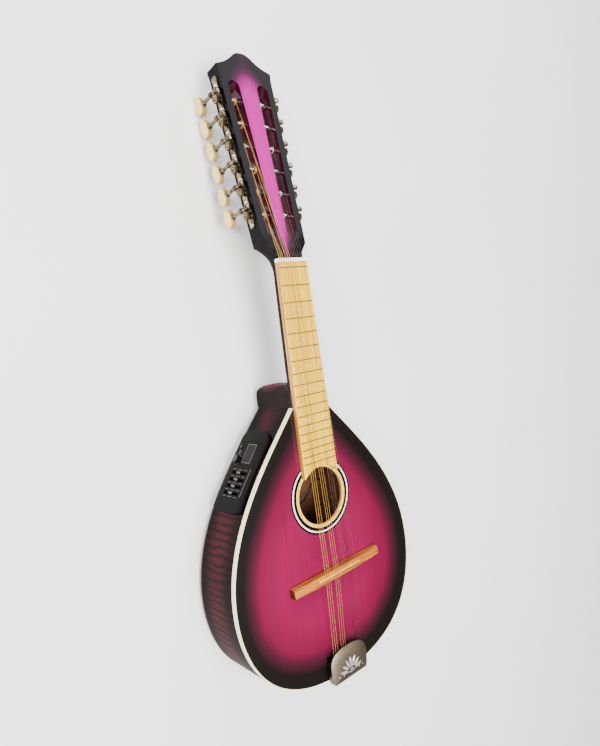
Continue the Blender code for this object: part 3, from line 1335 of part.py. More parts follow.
def make_harness(root, wall_axes):
    """The contact pickup under the bridge and the lead to the jack, both from one plug on the preamp."""
    x, y = PICKUP_POSITION
    under = -SOUNDBOARD_THICKNESS - GAP
    disc = rod(PICKUP_RADIUS, under - PICKUP_THICKNESS, under, PICKUP_SIDES, Matrix.Translation((x, y, 0)))
    outside = -HOUSING_DEPTH - GAP
    plug_x = PANEL_LENGTH * PLUG_SHARE
    plug = block((plug_x - PLUG_WIDTH / 2, PANEL_CENTRE_Z - PLUG_HEIGHT / 2, outside - PLUG_DEPTH),
                 (plug_x + PLUG_WIDTH / 2, PANEL_CENTRE_Z + PLUG_HEIGHT / 2, outside), wall_axes)
    exits = [wall_axes @ Vector((plug_x, PANEL_CENTRE_Z + side * PLUG_HEIGHT / 4, outside - PLUG_DEPTH / 2))
             for side in (1, -1)]
    inward = -(wall_axes.to_3x3() @ Vector((0, 0, 1)))
    straight = inward * (PLUG_DEPTH + 2 * LEAD_RADIUS)
    low = under - PICKUP_THICKNESS / 2
    first = [exits[0], exits[0] + straight] + in_body(PICKUP_LEAD_ROUTE)
    first += [(x, y, low - 4 * LEAD_RADIUS), (x, y, low)]
    jack_end = TAIL_Y + JACK_BARREL_LENGTH + GAP
    second = [exits[1], exits[1] + straight] + in_body(OUTPUT_LEAD_ROUTE)
    second += [(0.0, jack_end + 4 * LEAD_RADIUS, JACK_Z), (0.0, jack_end, JACK_Z)]
    leads = [tube(smooth_route(route), LEAD_RADIUS) for route in (first, second)]
    part("pickup_harness", combined(plug, [merged(leads), disc], "UNION"), "lead", root)


def make_jack(root):
    """The end-pin jack: strap button outside, barrel through the tail block, nut inside."""
    barrel_end = -JACK_BARREL_LENGTH
    nut_face = -(RIB_THICKNESS + GAP + TAIL_BLOCK_LENGTH + GAP)
    nut_end = nut_face - JACK_SEAT_HEIGHT
    bore_end = JACK_FLANGE_HEIGHT - JACK_BORE_DEPTH
    neck_radius = JACK_BARREL_RADIUS
    profile = [
        (0.0, bore_end), (JACK_BORE_RADIUS, bore_end), (JACK_BORE_RADIUS, JACK_FLANGE_HEIGHT),
        (JACK_FLANGE_RADIUS, JACK_FLANGE_HEIGHT), (JACK_FLANGE_RADIUS, JACK_NECK_HEIGHT),
        (neck_radius, JACK_NECK_HEIGHT - JACK_SEAT_HEIGHT), (neck_radius, JACK_SEAT_HEIGHT),
        (JACK_SEAT_RADIUS, JACK_SEAT_HEIGHT), (JACK_SEAT_RADIUS, GAP), (JACK_BARREL_RADIUS, GAP),
        (JACK_BARREL_RADIUS, nut_face), (JACK_NUT_RADIUS, nut_face), (JACK_NUT_RADIUS, nut_end),
        (JACK_BARREL_RADIUS, nut_end), (JACK_BARREL_RADIUS, barrel_end), (0.0, barrel_end),
    ]
    axes = Matrix.Translation((0, TAIL_Y, JACK_Z)) @ OUT_OF_TAIL
    part("output_jack", turned(profile, JACK_SIDES, axes), "nickel", root)


def preamp_axes():
    """The wall frame of the preamp: X along the chord of the bass-side wall, Y up, Z outwards."""
    start_x, start_y = wall_point(PANEL_START_Y)
    path = [tuple(p) for p in half_outline()]
    steps = [p for p in clipped(path, 1, PANEL_START_Y, False)]
    end = steps[-1]
    for before, after in zip(steps, steps[1:]):
        reach = math.dist(after, (start_x, start_y))
        if reach >= PANEL_LENGTH:
            short = math.dist(before, (start_x, start_y))
            share = (PANEL_LENGTH - short) / (reach - short)
            end = (before[0] + (after[0] - before[0]) * share, before[1] + (after[1] - before[1]) * share)
            break
    along = Vector((-end[0] + start_x, end[1] - start_y, 0)).normalized()
    up = Vector((0, 0, 1))
    out = along.cross(up)
    axes = Matrix((along, up, out)).transposed().to_4x4()
    return Matrix.Translation((-start_x, start_y, 0)) @ axes


def main():
    clear_scene()
    root = frame_empty("mandolin", Matrix.Translation((0, -CENTRE_Y, REST_DEPTH)))
    head_axes = Matrix.Translation((0, HEAD_START_Y, 0)) @ Matrix.Rotation(-HEAD_ANGLE, 4, "X")
    head = frame_empty("head_frame", head_axes, root)
    back_axes = Matrix.Translation((0, BODY_FRONT_Y, -FRONT_DEPTH)) @ Matrix.Rotation(BACK_SLOPE, 4, "X")
    back = frame_empty("back_frame", back_axes, root)
    wall_axes = preamp_axes()
    wall = frame_empty("preamp_frame", wall_axes, root)

    make_soundboard(root)
    make_rosette(root)
    make_binding(root)
    make_side_ribs(root, wall_axes)
    make_back_plate(back)
    make_end_blocks(root)
    make_bracing(root, back)
    make_neck(root)
    make_fingerboard(root)
    make_nut(root)
    make_headstock(head)
    make_tuners(head)
    make_bridge(root)
    make_tailpiece(root)
    make_strings(root)
    make_preamp(wall, wall_axes)
    make_harness(root, wall_axes)
    make_jack(root)
    bpy.context.view_layer.update()


main()
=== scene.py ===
"""Looks of the twelve-string mandolin: its lacquers, woods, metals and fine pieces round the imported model.

Pieces are laid out in the instrument's own coordinates: the zero fret is Y = 0, the soundboard's
face is Z = 0, +X is the treble side and +Y runs towards the head. INSTRUMENT carries them to the
model's frame, where the instrument lies on its back. All sizes are in metres.
"""
import math

import bmesh
import bpy
import numpy as np
from mathutils import Matrix, Vector


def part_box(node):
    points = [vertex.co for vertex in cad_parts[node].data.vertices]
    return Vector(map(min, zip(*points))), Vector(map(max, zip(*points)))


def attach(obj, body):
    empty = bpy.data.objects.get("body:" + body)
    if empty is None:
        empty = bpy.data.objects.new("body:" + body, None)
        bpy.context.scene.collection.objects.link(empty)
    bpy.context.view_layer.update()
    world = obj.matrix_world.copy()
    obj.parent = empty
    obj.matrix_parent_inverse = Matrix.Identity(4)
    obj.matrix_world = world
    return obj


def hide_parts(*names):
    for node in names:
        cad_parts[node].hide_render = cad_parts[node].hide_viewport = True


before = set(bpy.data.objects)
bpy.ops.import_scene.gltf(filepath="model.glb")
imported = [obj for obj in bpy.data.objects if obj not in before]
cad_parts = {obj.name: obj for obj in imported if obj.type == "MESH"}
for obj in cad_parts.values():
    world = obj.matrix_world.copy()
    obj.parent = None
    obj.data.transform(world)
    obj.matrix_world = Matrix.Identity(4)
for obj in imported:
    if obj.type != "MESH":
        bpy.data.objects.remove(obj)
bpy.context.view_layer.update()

# Where the instrument lies in the model's frame
BODY = "mandolin_body"
FACE_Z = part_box("soundboard")[1].z
ZERO_FRET_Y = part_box("truss_rod")[1].y
INSTRUMENT = Matrix.Translation((0, ZERO_FRET_Y, FACE_Z))
GAP = 0.0003
SEAM = 0.00005

# Scale and body
SCALE_LENGTH = 0.345
FRET_COUNT = 17
JOIN_FRET = 10


def fret_y(number):
    """Distance of a fret from the zero fret, towards the tail."""
    return -SCALE_LENGTH * (1 - 2 ** (-number / 12))


BODY_FRONT_Y = fret_y(JOIN_FRET)
SHOULDER_HALF = 0.0246
SHOULDER_ANGLE = math.radians(40.45)
SHOULDER_PULL = 0.060
BODY_HALF = 0.1334
WIDEST_Y = BODY_FRONT_Y - 0.1968
UPPER_PULL = 0.0878
LOWER_PULL = 0.0533
TAIL_Y = BODY_FRONT_Y - 0.3211
TAIL_PULL = 0.1089
OUTLINE_STEPS = 56
FRONT_STEPS = 10
FRONT_DEPTH = 0.0640
TAIL_DEPTH = 0.0725
SOUNDBOARD_THICKNESS = 0.0030
BACK_THICKNESS = 0.0030
RIB_THICKNESS = 0.0022
BINDING_THICKNESS = 0.0012
BINDING_HEIGHT = 0.0054
HOLE_Y = BODY_FRONT_Y - 0.1057
HOLE_RADIUS = 0.0329
ROSETTE_RADIUS = 0.0444
ROSETTE_THICKNESS = 0.0009
# Burst: the dark rim's width, where the fade ends, how much wider both are on the treble side and at the
# tail, and the share of the way from the middle to the rim where the plates' rings of points draw closer
BURST_RIM = 0.008
BURST_END = 0.062
BURST_TREBLE_WIDER = 0.30
BURST_TAIL_WIDER = 0.55
BURST_START = 0.62

# Neck, heel and board
NUT_HALF = 0.0204
BOARD_FLARE = 0.01946
NECK_DEPTH_AT_NUT = 0.0140
NECK_DEPTH_AT_HEEL = 0.0155
NECK_ROUNDNESS = 2.3
# The flare at the head: share of the way to its foot, share of the widening, share of its depth, roundness
NECK_FLARE = (
    (0.0, 0.0, 0.984, 2.6), (0.35, 0.12, 1.0, 3.5), (0.65, 0.50, 1.0, 5.0),
    (1.0, 1.0, 1.0, 14.0), (1.12, 0.985, 0.985, 14.0),
)
NECK_STEPS = 40
NECK_VOXEL = 0.0009
HEEL_HALF = 0.0244
HEEL_STRAIGHT = 0.0131
HEEL_NOSE = 0.0110
HEEL_ROUNDNESS = 3.0
HEEL_DROP = 0.0005
HEEL_EDGE = 0.0028
HEEL_FILLET = 0.010
BOARD_THICKNESS = 0.0056
BOARD_HEAD_Y = 0.0052
BOARD_END_RADIUS = 0.0350
BOARD_END_HALF = 0.0240
FRET_WIDTH = 0.0011
FRET_HEIGHT = 0.0008
FRET_INSET = 0.0005
DOT_RADIUS = 0.0014
SINGLE_DOTS = (3, 5, 7, 9)
DOUBLE_DOT = 12
NUT_LENGTH = 0.0042

# Headstock, in its own tilted frame
HEAD_ANGLE = math.radians(8.57)
HEAD_START_Y = 0.0100
HEAD_THICKNESS = 0.0190
HEAD_FOOT = 0.0170
HEAD_FOOT_HALF = 0.02965
HEAD_SIDE_END = 0.2060
HEAD_TOP_HALF = 0.0352
HEAD_CORNER = (0.0367, 0.2128)
CREST_HALF = ((0.0289, 0.2155), (0.0233, 0.2180), (0.0170, 0.2220), (0.0110, 0.2269), (0.0040, 0.2303))
SLOT_FOOT = (0.0141, 0.0330)
SLOT_TOP = (0.0192, 0.1896)
SLOT_RADIUS = 0.0072
HEAD_EDGE = 0.0007

# Tuning machines
TUNERS_A_SIDE = 6
TUNER_START = 0.0510
TUNER_PITCH = 0.0254
ROLLER_DEPTH = 0.0090
ROLLER_RADIUS = 0.0032
ROLLER_LENGTH = 0.0270
ROLLER_NECK_RADIUS = 0.0024
ROLLER_CAP_LENGTH = 0.0008
GEAR_TEETH = 14
GEAR_TIP_RADIUS = 0.0049
GEAR_ROOT_RADIUS = 0.0039
GEAR_WIDTH = 0.0038
WORM_RADIUS = 0.0021
WORM_LENGTH = 0.0080
WORM_OFFSET = 0.0074
WORM_STANDOFF = 0.0060
KEY_SHAFT_RADIUS = 0.0018
KEY_PIVOT_RADIUS = 0.0011
KEY_REACH = 0.0387
# The key's two collars down the shaft: how many times its radius, and how far below or above their seats
KEY_UPPER_COLLAR = ((1.0, 0.0), (1.8, 0.0002), (1.9, 0.0010), (1.7, 0.0018), (1.15, 0.0024))
KEY_LOWER_COLLAR = ((1.2, 0.0040), (1.5, 0.0030), (1.9, 0.0022), (2.0, 0.0010), (1.6, 0.0002), (1.0, -0.002))
WORM_THREAD_TURNS = 4
WORM_THREAD_WIRE = 0.00055
BUTTON_HALF_LENGTH = 0.01025
BUTTON_HALF_HEIGHT = 0.0065
BUTTON_THICKNESS = 0.0084
BUTTON_ROUNDING = 0.0024
PLATE_THICKNESS = 0.0012
PLATE_WIDTH = 0.0110
PLATE_START = 0.0370
PLATE_END = 0.2035
PLATE_DEPTH = 0.0095
EAR_THICKNESS = 0.0014
EAR_HALF_WIDTH = 0.0031
PLATE_SCREW_OFFSET = 0.0151
COLLAR_OUTER = 0.0042
COLLAR_INNER = 0.0028
SCREW_HEAD_RADIUS = 0.0022
SCREW_HEAD_HEIGHT = 0.0013

# Bridge, saddle and tailpiece
BRIDGE_X = 0.0040
BRIDGE_Y = -SCALE_LENGTH - 0.0026
BRIDGE_LENGTH = 0.1335
BRIDGE_WIDTH = 0.0108
BRIDGE_TURN = math.radians(2.1)
BRIDGE_END_HEIGHT = 0.0086
BRIDGE_TOP = 0.0105
BRIDGE_WING = 0.0330
SADDLE_X = 0.0029
SADDLE_Y = -SCALE_LENGTH - 0.0012
SADDLE_LENGTH = 0.0647
SADDLE_WIDTH = 0.0024
SADDLE_TOP = 0.0125
SADDLE_DEPTH = 0.0060
TAILPIECE_X = 0.0010
COVER_HALF = 0.0285
COVER_FRONT_Y = TAIL_Y + 0.0365
COVER_REAR_Y = TAIL_Y - 0.0025
COVER_SHOULDER_Y = TAIL_Y + 0.0155
COVER_ROUNDNESS = 2.7
COVER_RIM_HEIGHT = 0.0092
COVER_CROWN = 0.0022
COVER_SHEET = 0.0009
COVER_STEPS = 180
COVER_ROWS = 60
COVER_OPEN_SINE = 0.35
TAILPIECE_SHEET = 0.0012
ORNAMENT_FOOT = -0.0105
ORNAMENT_SLOPE = 0.0009
ORNAMENT_RELIEF = 0.00035
LEAF_COUNT = 7
LEAF_SPREAD = math.radians(25)
LEAF_START = 0.0055
LEAF_LENGTH = 0.0145
LEAF_HALF = 0.0024
BEAD_COUNT = 7
BEAD_PITCH = 0.0062
BEAD_RADIUS = 0.0015
HOOK_Y = TAIL_Y + 0.0175
HOOK_RADIUS = 0.0009

# Strings: four courses of three, from the bass side to the treble side
COURSES = 4
STRINGS_A_COURSE = 3
STRING_RADII = (0.00045, 0.00038, 0.00022, 0.00018)
NUT_COURSE_X = -0.0022
NUT_COURSE_PITCH = 0.0093
NUT_STRING_PITCH = 0.0029
BRIDGE_COURSE_X = 0.0040
BRIDGE_COURSE_PITCH = 0.0142
BRIDGE_STRING_PITCH = 0.0031
TAIL_COURSE_X = 0.0041
TAIL_COURSE_PITCH = 0.0122
TAIL_STRING_PITCH = 0.0034
STRING_HOOK_HEIGHT = 0.0040
ROLLER_OF_STRING = (3, 1, 0, 2, 4, 5)
ROLLER_STRING_X = (0.0200, 0.0165, 0.0135, 0.0115, 0.0145, 0.0175)
STRING_SLIMNESS = 0.62
SADDLE_SOFTENING = 0.0012
COIL_TURNS = 3
COIL_STEPS = 20

# Preamp, in the frame of the bass-side wall
PANEL_START_Y = BODY_FRONT_Y - 0.0226
PANEL_LENGTH = 0.0960
PANEL_HEIGHT = 0.0485
PANEL_CENTRE_Z = -0.03525
PANEL_FACE = 0.0044
PANEL_NOSE = 0.0140
PANEL_CORNER = 0.0050
PANEL_BULGE = 0.0015
PANEL_EDGE = 0.0011
DOOR_LENGTH = 0.0170
HOUSING_HEIGHT = 0.0420
HOUSING_DEPTH = 0.0240
HOUSING_WALL = 0.0015
HOUSING_MARGIN = 0.0040
BATTERY_WIDTH = 0.0170
BATTERY_HEIGHT = 0.0260
BATTERY_LENGTH = 0.0480
DISPLAY_START = 0.0187
DISPLAY_LENGTH = 0.0216
DISPLAY_HEIGHT = 0.0141
DISPLAY_Z = -0.03375
DISPLAY_THICKNESS = 0.0012
TUNER_BUTTON_X = 0.0225
TUNER_BUTTON_Z = -0.0520
TUNER_BUTTON_RADIUS = 0.0020
TUNER_BUTTON_STROKE = 0.0012
KNOB_X = 0.0381
KNOB_Z = -0.0506
KNOB_RADIUS = 0.0044
KNOB_HEIGHT = 0.0040
KNOB_DOTS_RADIUS = 0.0062
KNOB_RIBS = 16
KNOB_SHAFT_RADIUS = 0.0030
SLIDER_COUNT = 4
SLIDER_START = 0.0529
SLIDER_PITCH = 0.0078
SLIDER_Z = -0.03725
SLIDER_SLOT_LENGTH = 0.0265
SLIDER_SLOT_WIDTH = 0.0030
SLIDER_STEM = 0.0030
SLIDER_THUMB = 0.0050
SLIDER_THUMB_HEIGHT = 0.0026
SLIDER_STEM_DEPTH = 0.0060
PRINT_THICKNESS = 0.00006

# Pickup, leads and jack
PICKUP_POSITION = (0.0120, -SCALE_LENGTH)
PICKUP_RADIUS = 0.0100
PICKUP_THICKNESS = 0.0008
LEAD_RADIUS = 0.0009
# The leads' routes: X, Y from the body's front edge, and Z
PICKUP_LEAD_ROUTE = (
    (-0.0550, -0.1066, -0.0365), (-0.0320, -0.1346, -0.0360),
    (-0.0100, -0.1666, -0.0270), (0.0060, -0.1846, -0.0140),
)
OUTPUT_LEAD_ROUTE = (
    (-0.0600, -0.1166, -0.0530), (-0.0260, -0.1366, -0.0625), (0.0140, -0.1316, -0.0633),
    (0.0300, -0.1231, -0.0630), (0.0400, -0.1106, -0.0627), (0.0520, -0.1076, -0.0626),
    (0.0620, -0.1236, -0.0630), (0.0600, -0.1606, -0.0625), (0.0520, -0.1906, -0.0545),
    (0.0400, -0.2266, -0.0590), (0.0260, -0.2626, -0.0565), (0.0080, -0.2846, -0.0430),
)
PLUG_SHARE = 0.78
PLUG_WIDTH = 0.0080
PLUG_HEIGHT = 0.0120
PLUG_DEPTH = 0.0050
JACK_Z = -0.0400
JACK_BARREL_RADIUS = 0.0058
JACK_BORE_RADIUS = 0.0033
JACK_BORE_DEPTH = 0.0340
JACK_BARREL_LENGTH = 0.0270
JACK_FLANGE_RADIUS = 0.0080
JACK_SEAT_RADIUS = 0.0095
JACK_NUT_RADIUS = 0.0085
JACK_SEAT_HEIGHT = 0.0027
JACK_NECK_HEIGHT = 0.0105
JACK_FLANGE_HEIGHT = 0.0120
TAIL_BLOCK_LENGTH = 0.0180

# Camera: where it stands, the point it looks at, which way is up, and its lens
CAMERA_PLACE = (-0.4202, 0.0564, 0.5689)
CAMERA_TARGET = (-0.0091, -0.0151, 0.0725)
CAMERA_UP = (0.1752, 0.9845, 0.0031)
CAMERA_LENS = 28.27
CAMERA_SHIFT = (-0.0014, 0.0285)


BACK_SLOPE = math.atan2(TAIL_DEPTH - FRONT_DEPTH, BODY_FRONT_Y - TAIL_Y)
BOARD_TOP = GAP + BOARD_THICKNESS
FRET_TOP = BOARD_TOP + FRET_HEIGHT
SIDE_ANGLE = math.atan2(HEAD_TOP_HALF - HEAD_FOOT_HALF, HEAD_SIDE_END - HEAD_FOOT)
NUT_Y = BOARD_HEAD_Y + GAP
HEAD = Matrix.Translation((0, HEAD_START_Y, 0)) @ Matrix.Rotation(-HEAD_ANGLE, 4, "X")
BACK = Matrix.Translation((0, BODY_FRONT_Y, -FRONT_DEPTH)) @ Matrix.Rotation(BACK_SLOPE, 4, "X")
ALONG_X = Matrix(((0, 0, 1, 0), (1, 0, 0, 0), (0, 1, 0, 0), (0, 0, 0, 1)))
OUT_OF_TAIL = Matrix(((1, 0, 0, 0), (0, 0, -1, 0), (0, 1, 0, 0), (0, 0, 0, 1)))
JACK = Matrix.Translation((0, TAIL_Y, JACK_Z)) @ OUT_OF_TAIL


# Materials

def srgb(red, green, blue):
    """A colour read as 0 to 255, in the shader's linear scale."""
    shares = [value / 255 for value in (red, green, blue)]
    linear = [s / 12.92 if s <= 0.04045 else ((s + 0.055) / 1.055) ** 2.4 for s in shares]
    return (*linear, 1.0)


def add(tree, kind, inputs=None, **settings):
    """A node with its settings; each input is a value or another node's output."""
    node = tree.nodes.new(kind)
    for key, value in settings.items():
        setattr(node, key, value)
    for key, value in (inputs or {}).items():
        if isinstance(value, bpy.types.NodeSocket):
            tree.links.new(value, node.inputs[key])
        else:
            node.inputs[key].default_value = value
    return node


def finish(name, colour, roughness, metallic=0.0, coat=0.0, coat_roughness=0.05, specular=0.5):
    """A new surface finish, its tree and its shader."""
    material = bpy.data.materials.new(name)
    material.use_nodes = True
    shader = material.node_tree.nodes["Principled BSDF"]
    shader.inputs["Base Color"].default_value = colour
    shader.inputs["Roughness"].default_value = roughness
    shader.inputs["Metallic"].default_value = metallic
    shader.inputs["Coat Weight"].default_value = coat
    shader.inputs["Coat Roughness"].default_value = coat_roughness
    shader.inputs["Specular IOR Level"].default_value = specular
    return material, material.node_tree, shader


def ramp(tree, factor, stops):
    """A colour for each place along a factor."""
    node = add(tree, "ShaderNodeValToRGB", {"Fac": factor})
    elements = node.color_ramp.elements
    elements.remove(elements[1])
    elements[0].position = stops[0][0]
    elements[0].color = stops[0][1]
    for place, colour in stops[1:]:
        elements.new(place).color = colour
    return node.outputs["Color"]


def object_place(tree, scale, turn=(0, 0, 0)):
    """The point on the piece, stretched by scale."""
    source = add(tree, "ShaderNodeTexCoord")
    inputs = {"Vector": source.outputs["Object"], "Rotation": turn, "Scale": scale}
    return add(tree, "ShaderNodeMapping", inputs)


def noise(tree, place, detail=3.0, roughness=0.5):
    """Cloudy variation from 0 to 1."""
    inputs = {"Vector": place.outputs[0], "Scale": 1.0, "Detail": detail, "Roughness": roughness}
    return add(tree, "ShaderNodeTexNoise", inputs).outputs["Fac"]


def spread(tree, value, low, high, from_low=0.0, from_high=1.0):
    """A value carried from one range to another."""
    inputs = {"Value": value, "From Min": from_low, "From Max": from_high, "To Min": low, "To Max": high}
    return add(tree, "ShaderNodeMapRange", inputs).outputs["Result"]


def maths(tree, operation, first, second=0.0):
    """One sum on two values."""
    return add(tree, "ShaderNodeMath", {0: first, 1: second}, operation=operation).outputs[0]


def mixed(tree, factor, first, second, blend="MIX"):
    """Two colours mixed by a factor."""
    node = add(tree, "ShaderNodeMix", {0: factor, 6: first, 7: second}, data_type="RGBA", blend_type=blend)
    return node.outputs[2]


def shaded(tree, colour, value):
    """A colour made lighter or darker by a value about 1."""
    return add(tree, "ShaderNodeHueSaturation", {"Color": colour, "Value": value}).outputs["Color"]


def varied(tree, cloud, low, high):
    """A value that goes from low to high over the usual spread of a noise."""
    return spread(tree, cloud, low, high, 0.3, 0.7)


def object_parts(tree):
    """The point on the piece as its X, Y and Z."""
    return add(tree, "ShaderNodeSeparateXYZ", {0: add(tree, "ShaderNodeTexCoord").outputs["Object"]}).outputs


def feed(shader, label, value):
    """Let a node's output drive one input of the shader."""
    shader.id_data.links.new(value, shader.inputs[label])


def bumped(tree, shader, height, distance):
    """Small relief from a height."""
    bump = add(tree, "ShaderNodeBump", {"Height": height, "Distance": distance})
    feed(shader, "Normal", bump.outputs["Normal"])


def crimson_burst(name, centre, near, middle, rim, coat):
    """Stained top or back: grain under gloss lacquer, fading to a near-black rim."""
    material, tree, shader = finish(name, centre, 0.34, coat=coat, coat_roughness=0.04, specular=0.2)
    edge = add(tree, "ShaderNodeAttribute", attribute_name="edge").outputs["Fac"]
    cloud = noise(tree, object_place(tree, (14, 7, 14)), detail=2)
    wander = maths(tree, "MULTIPLY", maths(tree, "SUBTRACT", cloud, 0.5), 0.006)
    fade = spread(tree, maths(tree, "ADD", edge, wander), 0, 1, BURST_RIM, BURST_END)
    stain = ramp(tree, fade, ((0.0, rim), (0.07, rim), (0.28, middle), (0.46, near), (1.0, centre)))
    grain = noise(tree, object_place(tree, (900, 9, 40)), detail=4, roughness=0.6)
    patches = noise(tree, object_place(tree, (16, 9, 16)), detail=2)
    value = maths(tree, "ADD", varied(tree, grain, -0.10, 0.10), varied(tree, patches, 0.90, 1.10))
    feed(shader, "Base Color", shaded(tree, stain, value))
    bumped(tree, shader, grain, 0.00004)
    return material


def flamed_side():
    """Maroon side wood with thin dark flame lines across it, darker along both edges, under gloss; near the
    shoulder, dark wood with maroon glints painted in.
    """
    material, tree, shader = finish("flamed_side", srgb(60, 30, 36), 0.36, coat=0.13, specular=0.0)
    wall = add(tree, "ShaderNodeUVMap", uv_map="wall")
    run = add(tree, "ShaderNodeMapping", {"Vector": wall.outputs[0], "Scale": (1, 0.022, 1)})
    inputs = {"Vector": run.outputs[0], "Scale": 38, "Distortion": 4.5, "Detail": 2.5, "Detail Scale": 1.4,
              "Detail Roughness": 0.6}
    flame = add(tree, "ShaderNodeTexWave", inputs, wave_type="BANDS", bands_direction="X").outputs["Fac"]
    lines = ramp(tree, flame, (
        (0.0, srgb(28, 9, 11)), (0.09, srgb(34, 11, 14)), (0.26, srgb(49, 17, 20)), (1.0, srgb(56, 20, 24))))
    height = add(tree, "ShaderNodeSeparateXYZ", {0: wall.outputs[0]}).outputs["Y"]
    bands = ramp(tree, height, (
        (0.0, srgb(120, 116, 108)), (0.14, srgb(150, 140, 132)), (0.36, srgb(250, 245, 245)),
        (0.62, srgb(250, 245, 245)), (0.86, srgb(130, 120, 112)), (1.0, srgb(96, 92, 84))))
    cloud = noise(tree, object_place(tree, (22, 22, 22)), detail=2)
    place = object_parts(tree)
    front = ZERO_FRET_Y + BODY_FRONT_Y
    # Near the shoulder the flame fades into dark wood with maroon patches painted in as glints, and the
    # colour darkens towards the heel.
    calm = spread(tree, place["Y"], 0.0, 1.0, front - 0.075, front - 0.045)
    patch = noise(tree, object_place(tree, (30, 46, 30)), detail=1)
    stain = ramp(tree, patch, ((0.46, srgb(34, 17, 19)), (0.62, srgb(58, 14, 28))))
    colour = mixed(tree, 1.0, mixed(tree, calm, lines, stain), bands, "MULTIPLY")
    shoulder = spread(tree, place["Y"], 1.0, 0.6, front - 0.060, front - 0.015)
    value = maths(tree, "MULTIPLY", varied(tree, cloud, 0.75, 1.2), shoulder)
    feed(shader, "Base Color", shaded(tree, colour, value))
    bumped(tree, shader, flame, 0.00002)
    return material


def neck_lacquer():
    """Dark stained neck wood under gloss, with a little maroon showing through, and a maroon sheen painted
    on the heel's nose.
    """
    material, tree, shader = finish("neck_lacquer", srgb(32, 24, 22), 0.34, coat=0.15, specular=0.0)
    grain = noise(tree, object_place(tree, (260, 10, 260)), detail=4)
    cloud = noise(tree, object_place(tree, (30, 12, 30)), detail=2)
    stain = ramp(tree, cloud, ((0.38, srgb(15, 12, 11)), (0.62, srgb(22, 13, 13)), (0.85, srgb(58, 11, 28))))
    place = object_parts(tree)
    # Painted sheen: a maroon band low on the heel's nose, where light falls on it.
    nose = ZERO_FRET_Y + BODY_FRONT_Y + HEEL_STRAIGHT + HEEL_NOSE
    ahead = spread(tree, place["Y"], 0, 1, nose - 0.006, nose - 0.001)
    low = spread(tree, place["Z"], 1, 0, FACE_Z - FRONT_DEPTH * 0.62, FACE_Z - FRONT_DEPTH * 0.40)
    beyond = spread(tree, place["Y"], 1, 0, nose + 0.001, nose + 0.006)
    nose_sheen = maths(tree, "MULTIPLY", maths(tree, "MULTIPLY", ahead, beyond), low)
    nose_sheen = maths(tree, "MULTIPLY", nose_sheen, spread(tree, cloud, 0.2, 1.0, 0.4, 0.6))
    stain = mixed(tree, nose_sheen, stain, srgb(96, 12, 44))
    value = varied(tree, grain, 0.85, 1.12)
    feed(shader, "Base Color", shaded(tree, stain, value))
    return material


def head_burst():
    """Headstock face: bright pink down the middle, fading to dark slate at rims, crest and foot."""
    material, tree, shader = finish("head_burst", srgb(164, 16, 127), 0.30, coat=0.1, specular=0.0)
    place = object_parts(tree)
    across = maths(tree, "ABSOLUTE", place["X"])
    along = maths(tree, "SUBTRACT", place["Y"], ZERO_FRET_Y + HEAD_START_Y)
    low, high = SLOT_FOOT[1], SLOT_TOP[1]
    width = spread(tree, along, SLOT_FOOT[0] - 0.0035, SLOT_TOP[0] - 0.0030, low, high)
    beside = maths(tree, "DIVIDE", across, width)
    above = spread(tree, along, 0.0, 1.6, high - 0.018, high + 0.024)
    squares = maths(tree, "ADD", maths(tree, "POWER", beside, 2.0), maths(tree, "POWER", above, 2.0))
    reach = maths(tree, "SQRT", squares)
    foot = spread(tree, along, 1.5, 0.0, -0.006, low + 0.012)
    stain = ramp(tree, maths(tree, "MULTIPLY", maths(tree, "ADD", reach, foot), 0.5), (
        (0.0, srgb(164, 0, 124)), (0.30, srgb(158, 0, 120)), (0.50, srgb(122, 16, 92)),
        (0.66, srgb(60, 22, 46)), (0.84, srgb(24, 20, 25)), (1.0, srgb(21, 20, 23))))
    grain = noise(tree, object_place(tree, (700, 12, 60)), detail=4)
    value = varied(tree, grain, 0.90, 1.10)
    feed(shader, "Base Color", shaded(tree, stain, value))
    bumped(tree, shader, grain, 0.00002)
    return material


def plain_gloss(name, colour, dark, scale, coat=0.15):
    """A stained and lacquered surface with soft variation."""
    material, tree, shader = finish(name, colour, 0.3, coat=coat, specular=0.0)
    cloud = noise(tree, object_place(tree, scale), detail=3)
    stain = ramp(tree, cloud, ((0.32, dark), (0.68, colour)))
    feed(shader, "Base Color", stain)
    return material


def straight_grain(name, light, mid, dark, scale, roughness, coat=0.0, share=0.0):
    """Bare or oiled wood with straight streaks of three colours; a larger share makes more of them dark."""
    material, tree, shader = finish(name, light, roughness, coat=coat, coat_roughness=0.12)
    streak = noise(tree, object_place(tree, scale), detail=6, roughness=0.72)
    colour = ramp(tree, streak, ((0.30 + share, dark), (0.43 + share, mid), (0.56 + share, light)))
    broad = noise(tree, object_place(tree, tuple(s * 0.16 for s in scale)), detail=2)
    value = varied(tree, broad, 0.90, 1.08)
    feed(shader, "Base Color", shaded(tree, colour, value))
    feed(shader, "Roughness", varied(tree, streak, roughness + 0.1, roughness - 0.05))
    bumped(tree, shader, streak, 0.00003)
    return material


def aged_metal(name, bright, dull, low, high):
    """Plated metal with fine patches of tarnish and rubbed marks."""
    material, tree, shader = finish(name, bright, low, metallic=1.0)
    cloud = noise(tree, object_place(tree, (240, 240, 240)), detail=5, roughness=0.65)
    feed(shader, "Base Color", ramp(tree, cloud, ((0.34, dull), (0.62, bright))))
    feed(shader, "Roughness", varied(tree, cloud, high, low))
    bumped(tree, shader, cloud, 0.00002)
    return material


def moulded(name, colour, roughness, grain=0.00002, coat=0.0, specular=0.4):
    """Moulded plastic or bone: fine pitting and soft variation of colour."""
    material, tree, shader = finish(name, colour, roughness, coat=coat, coat_roughness=0.1,
                                    specular=specular)
    pits = noise(tree, object_place(tree, (1500, 1500, 1500)), detail=2)
    cloud = noise(tree, object_place(tree, (90, 90, 90)), detail=3)
    value = varied(tree, cloud, 0.90, 1.08)
    feed(shader, "Base Color", shaded(tree, colour, value))
    feed(shader, "Roughness", varied(tree, cloud, roughness - 0.05, roughness + 0.07))
    bumped(tree, shader, pits, grain)
    return material


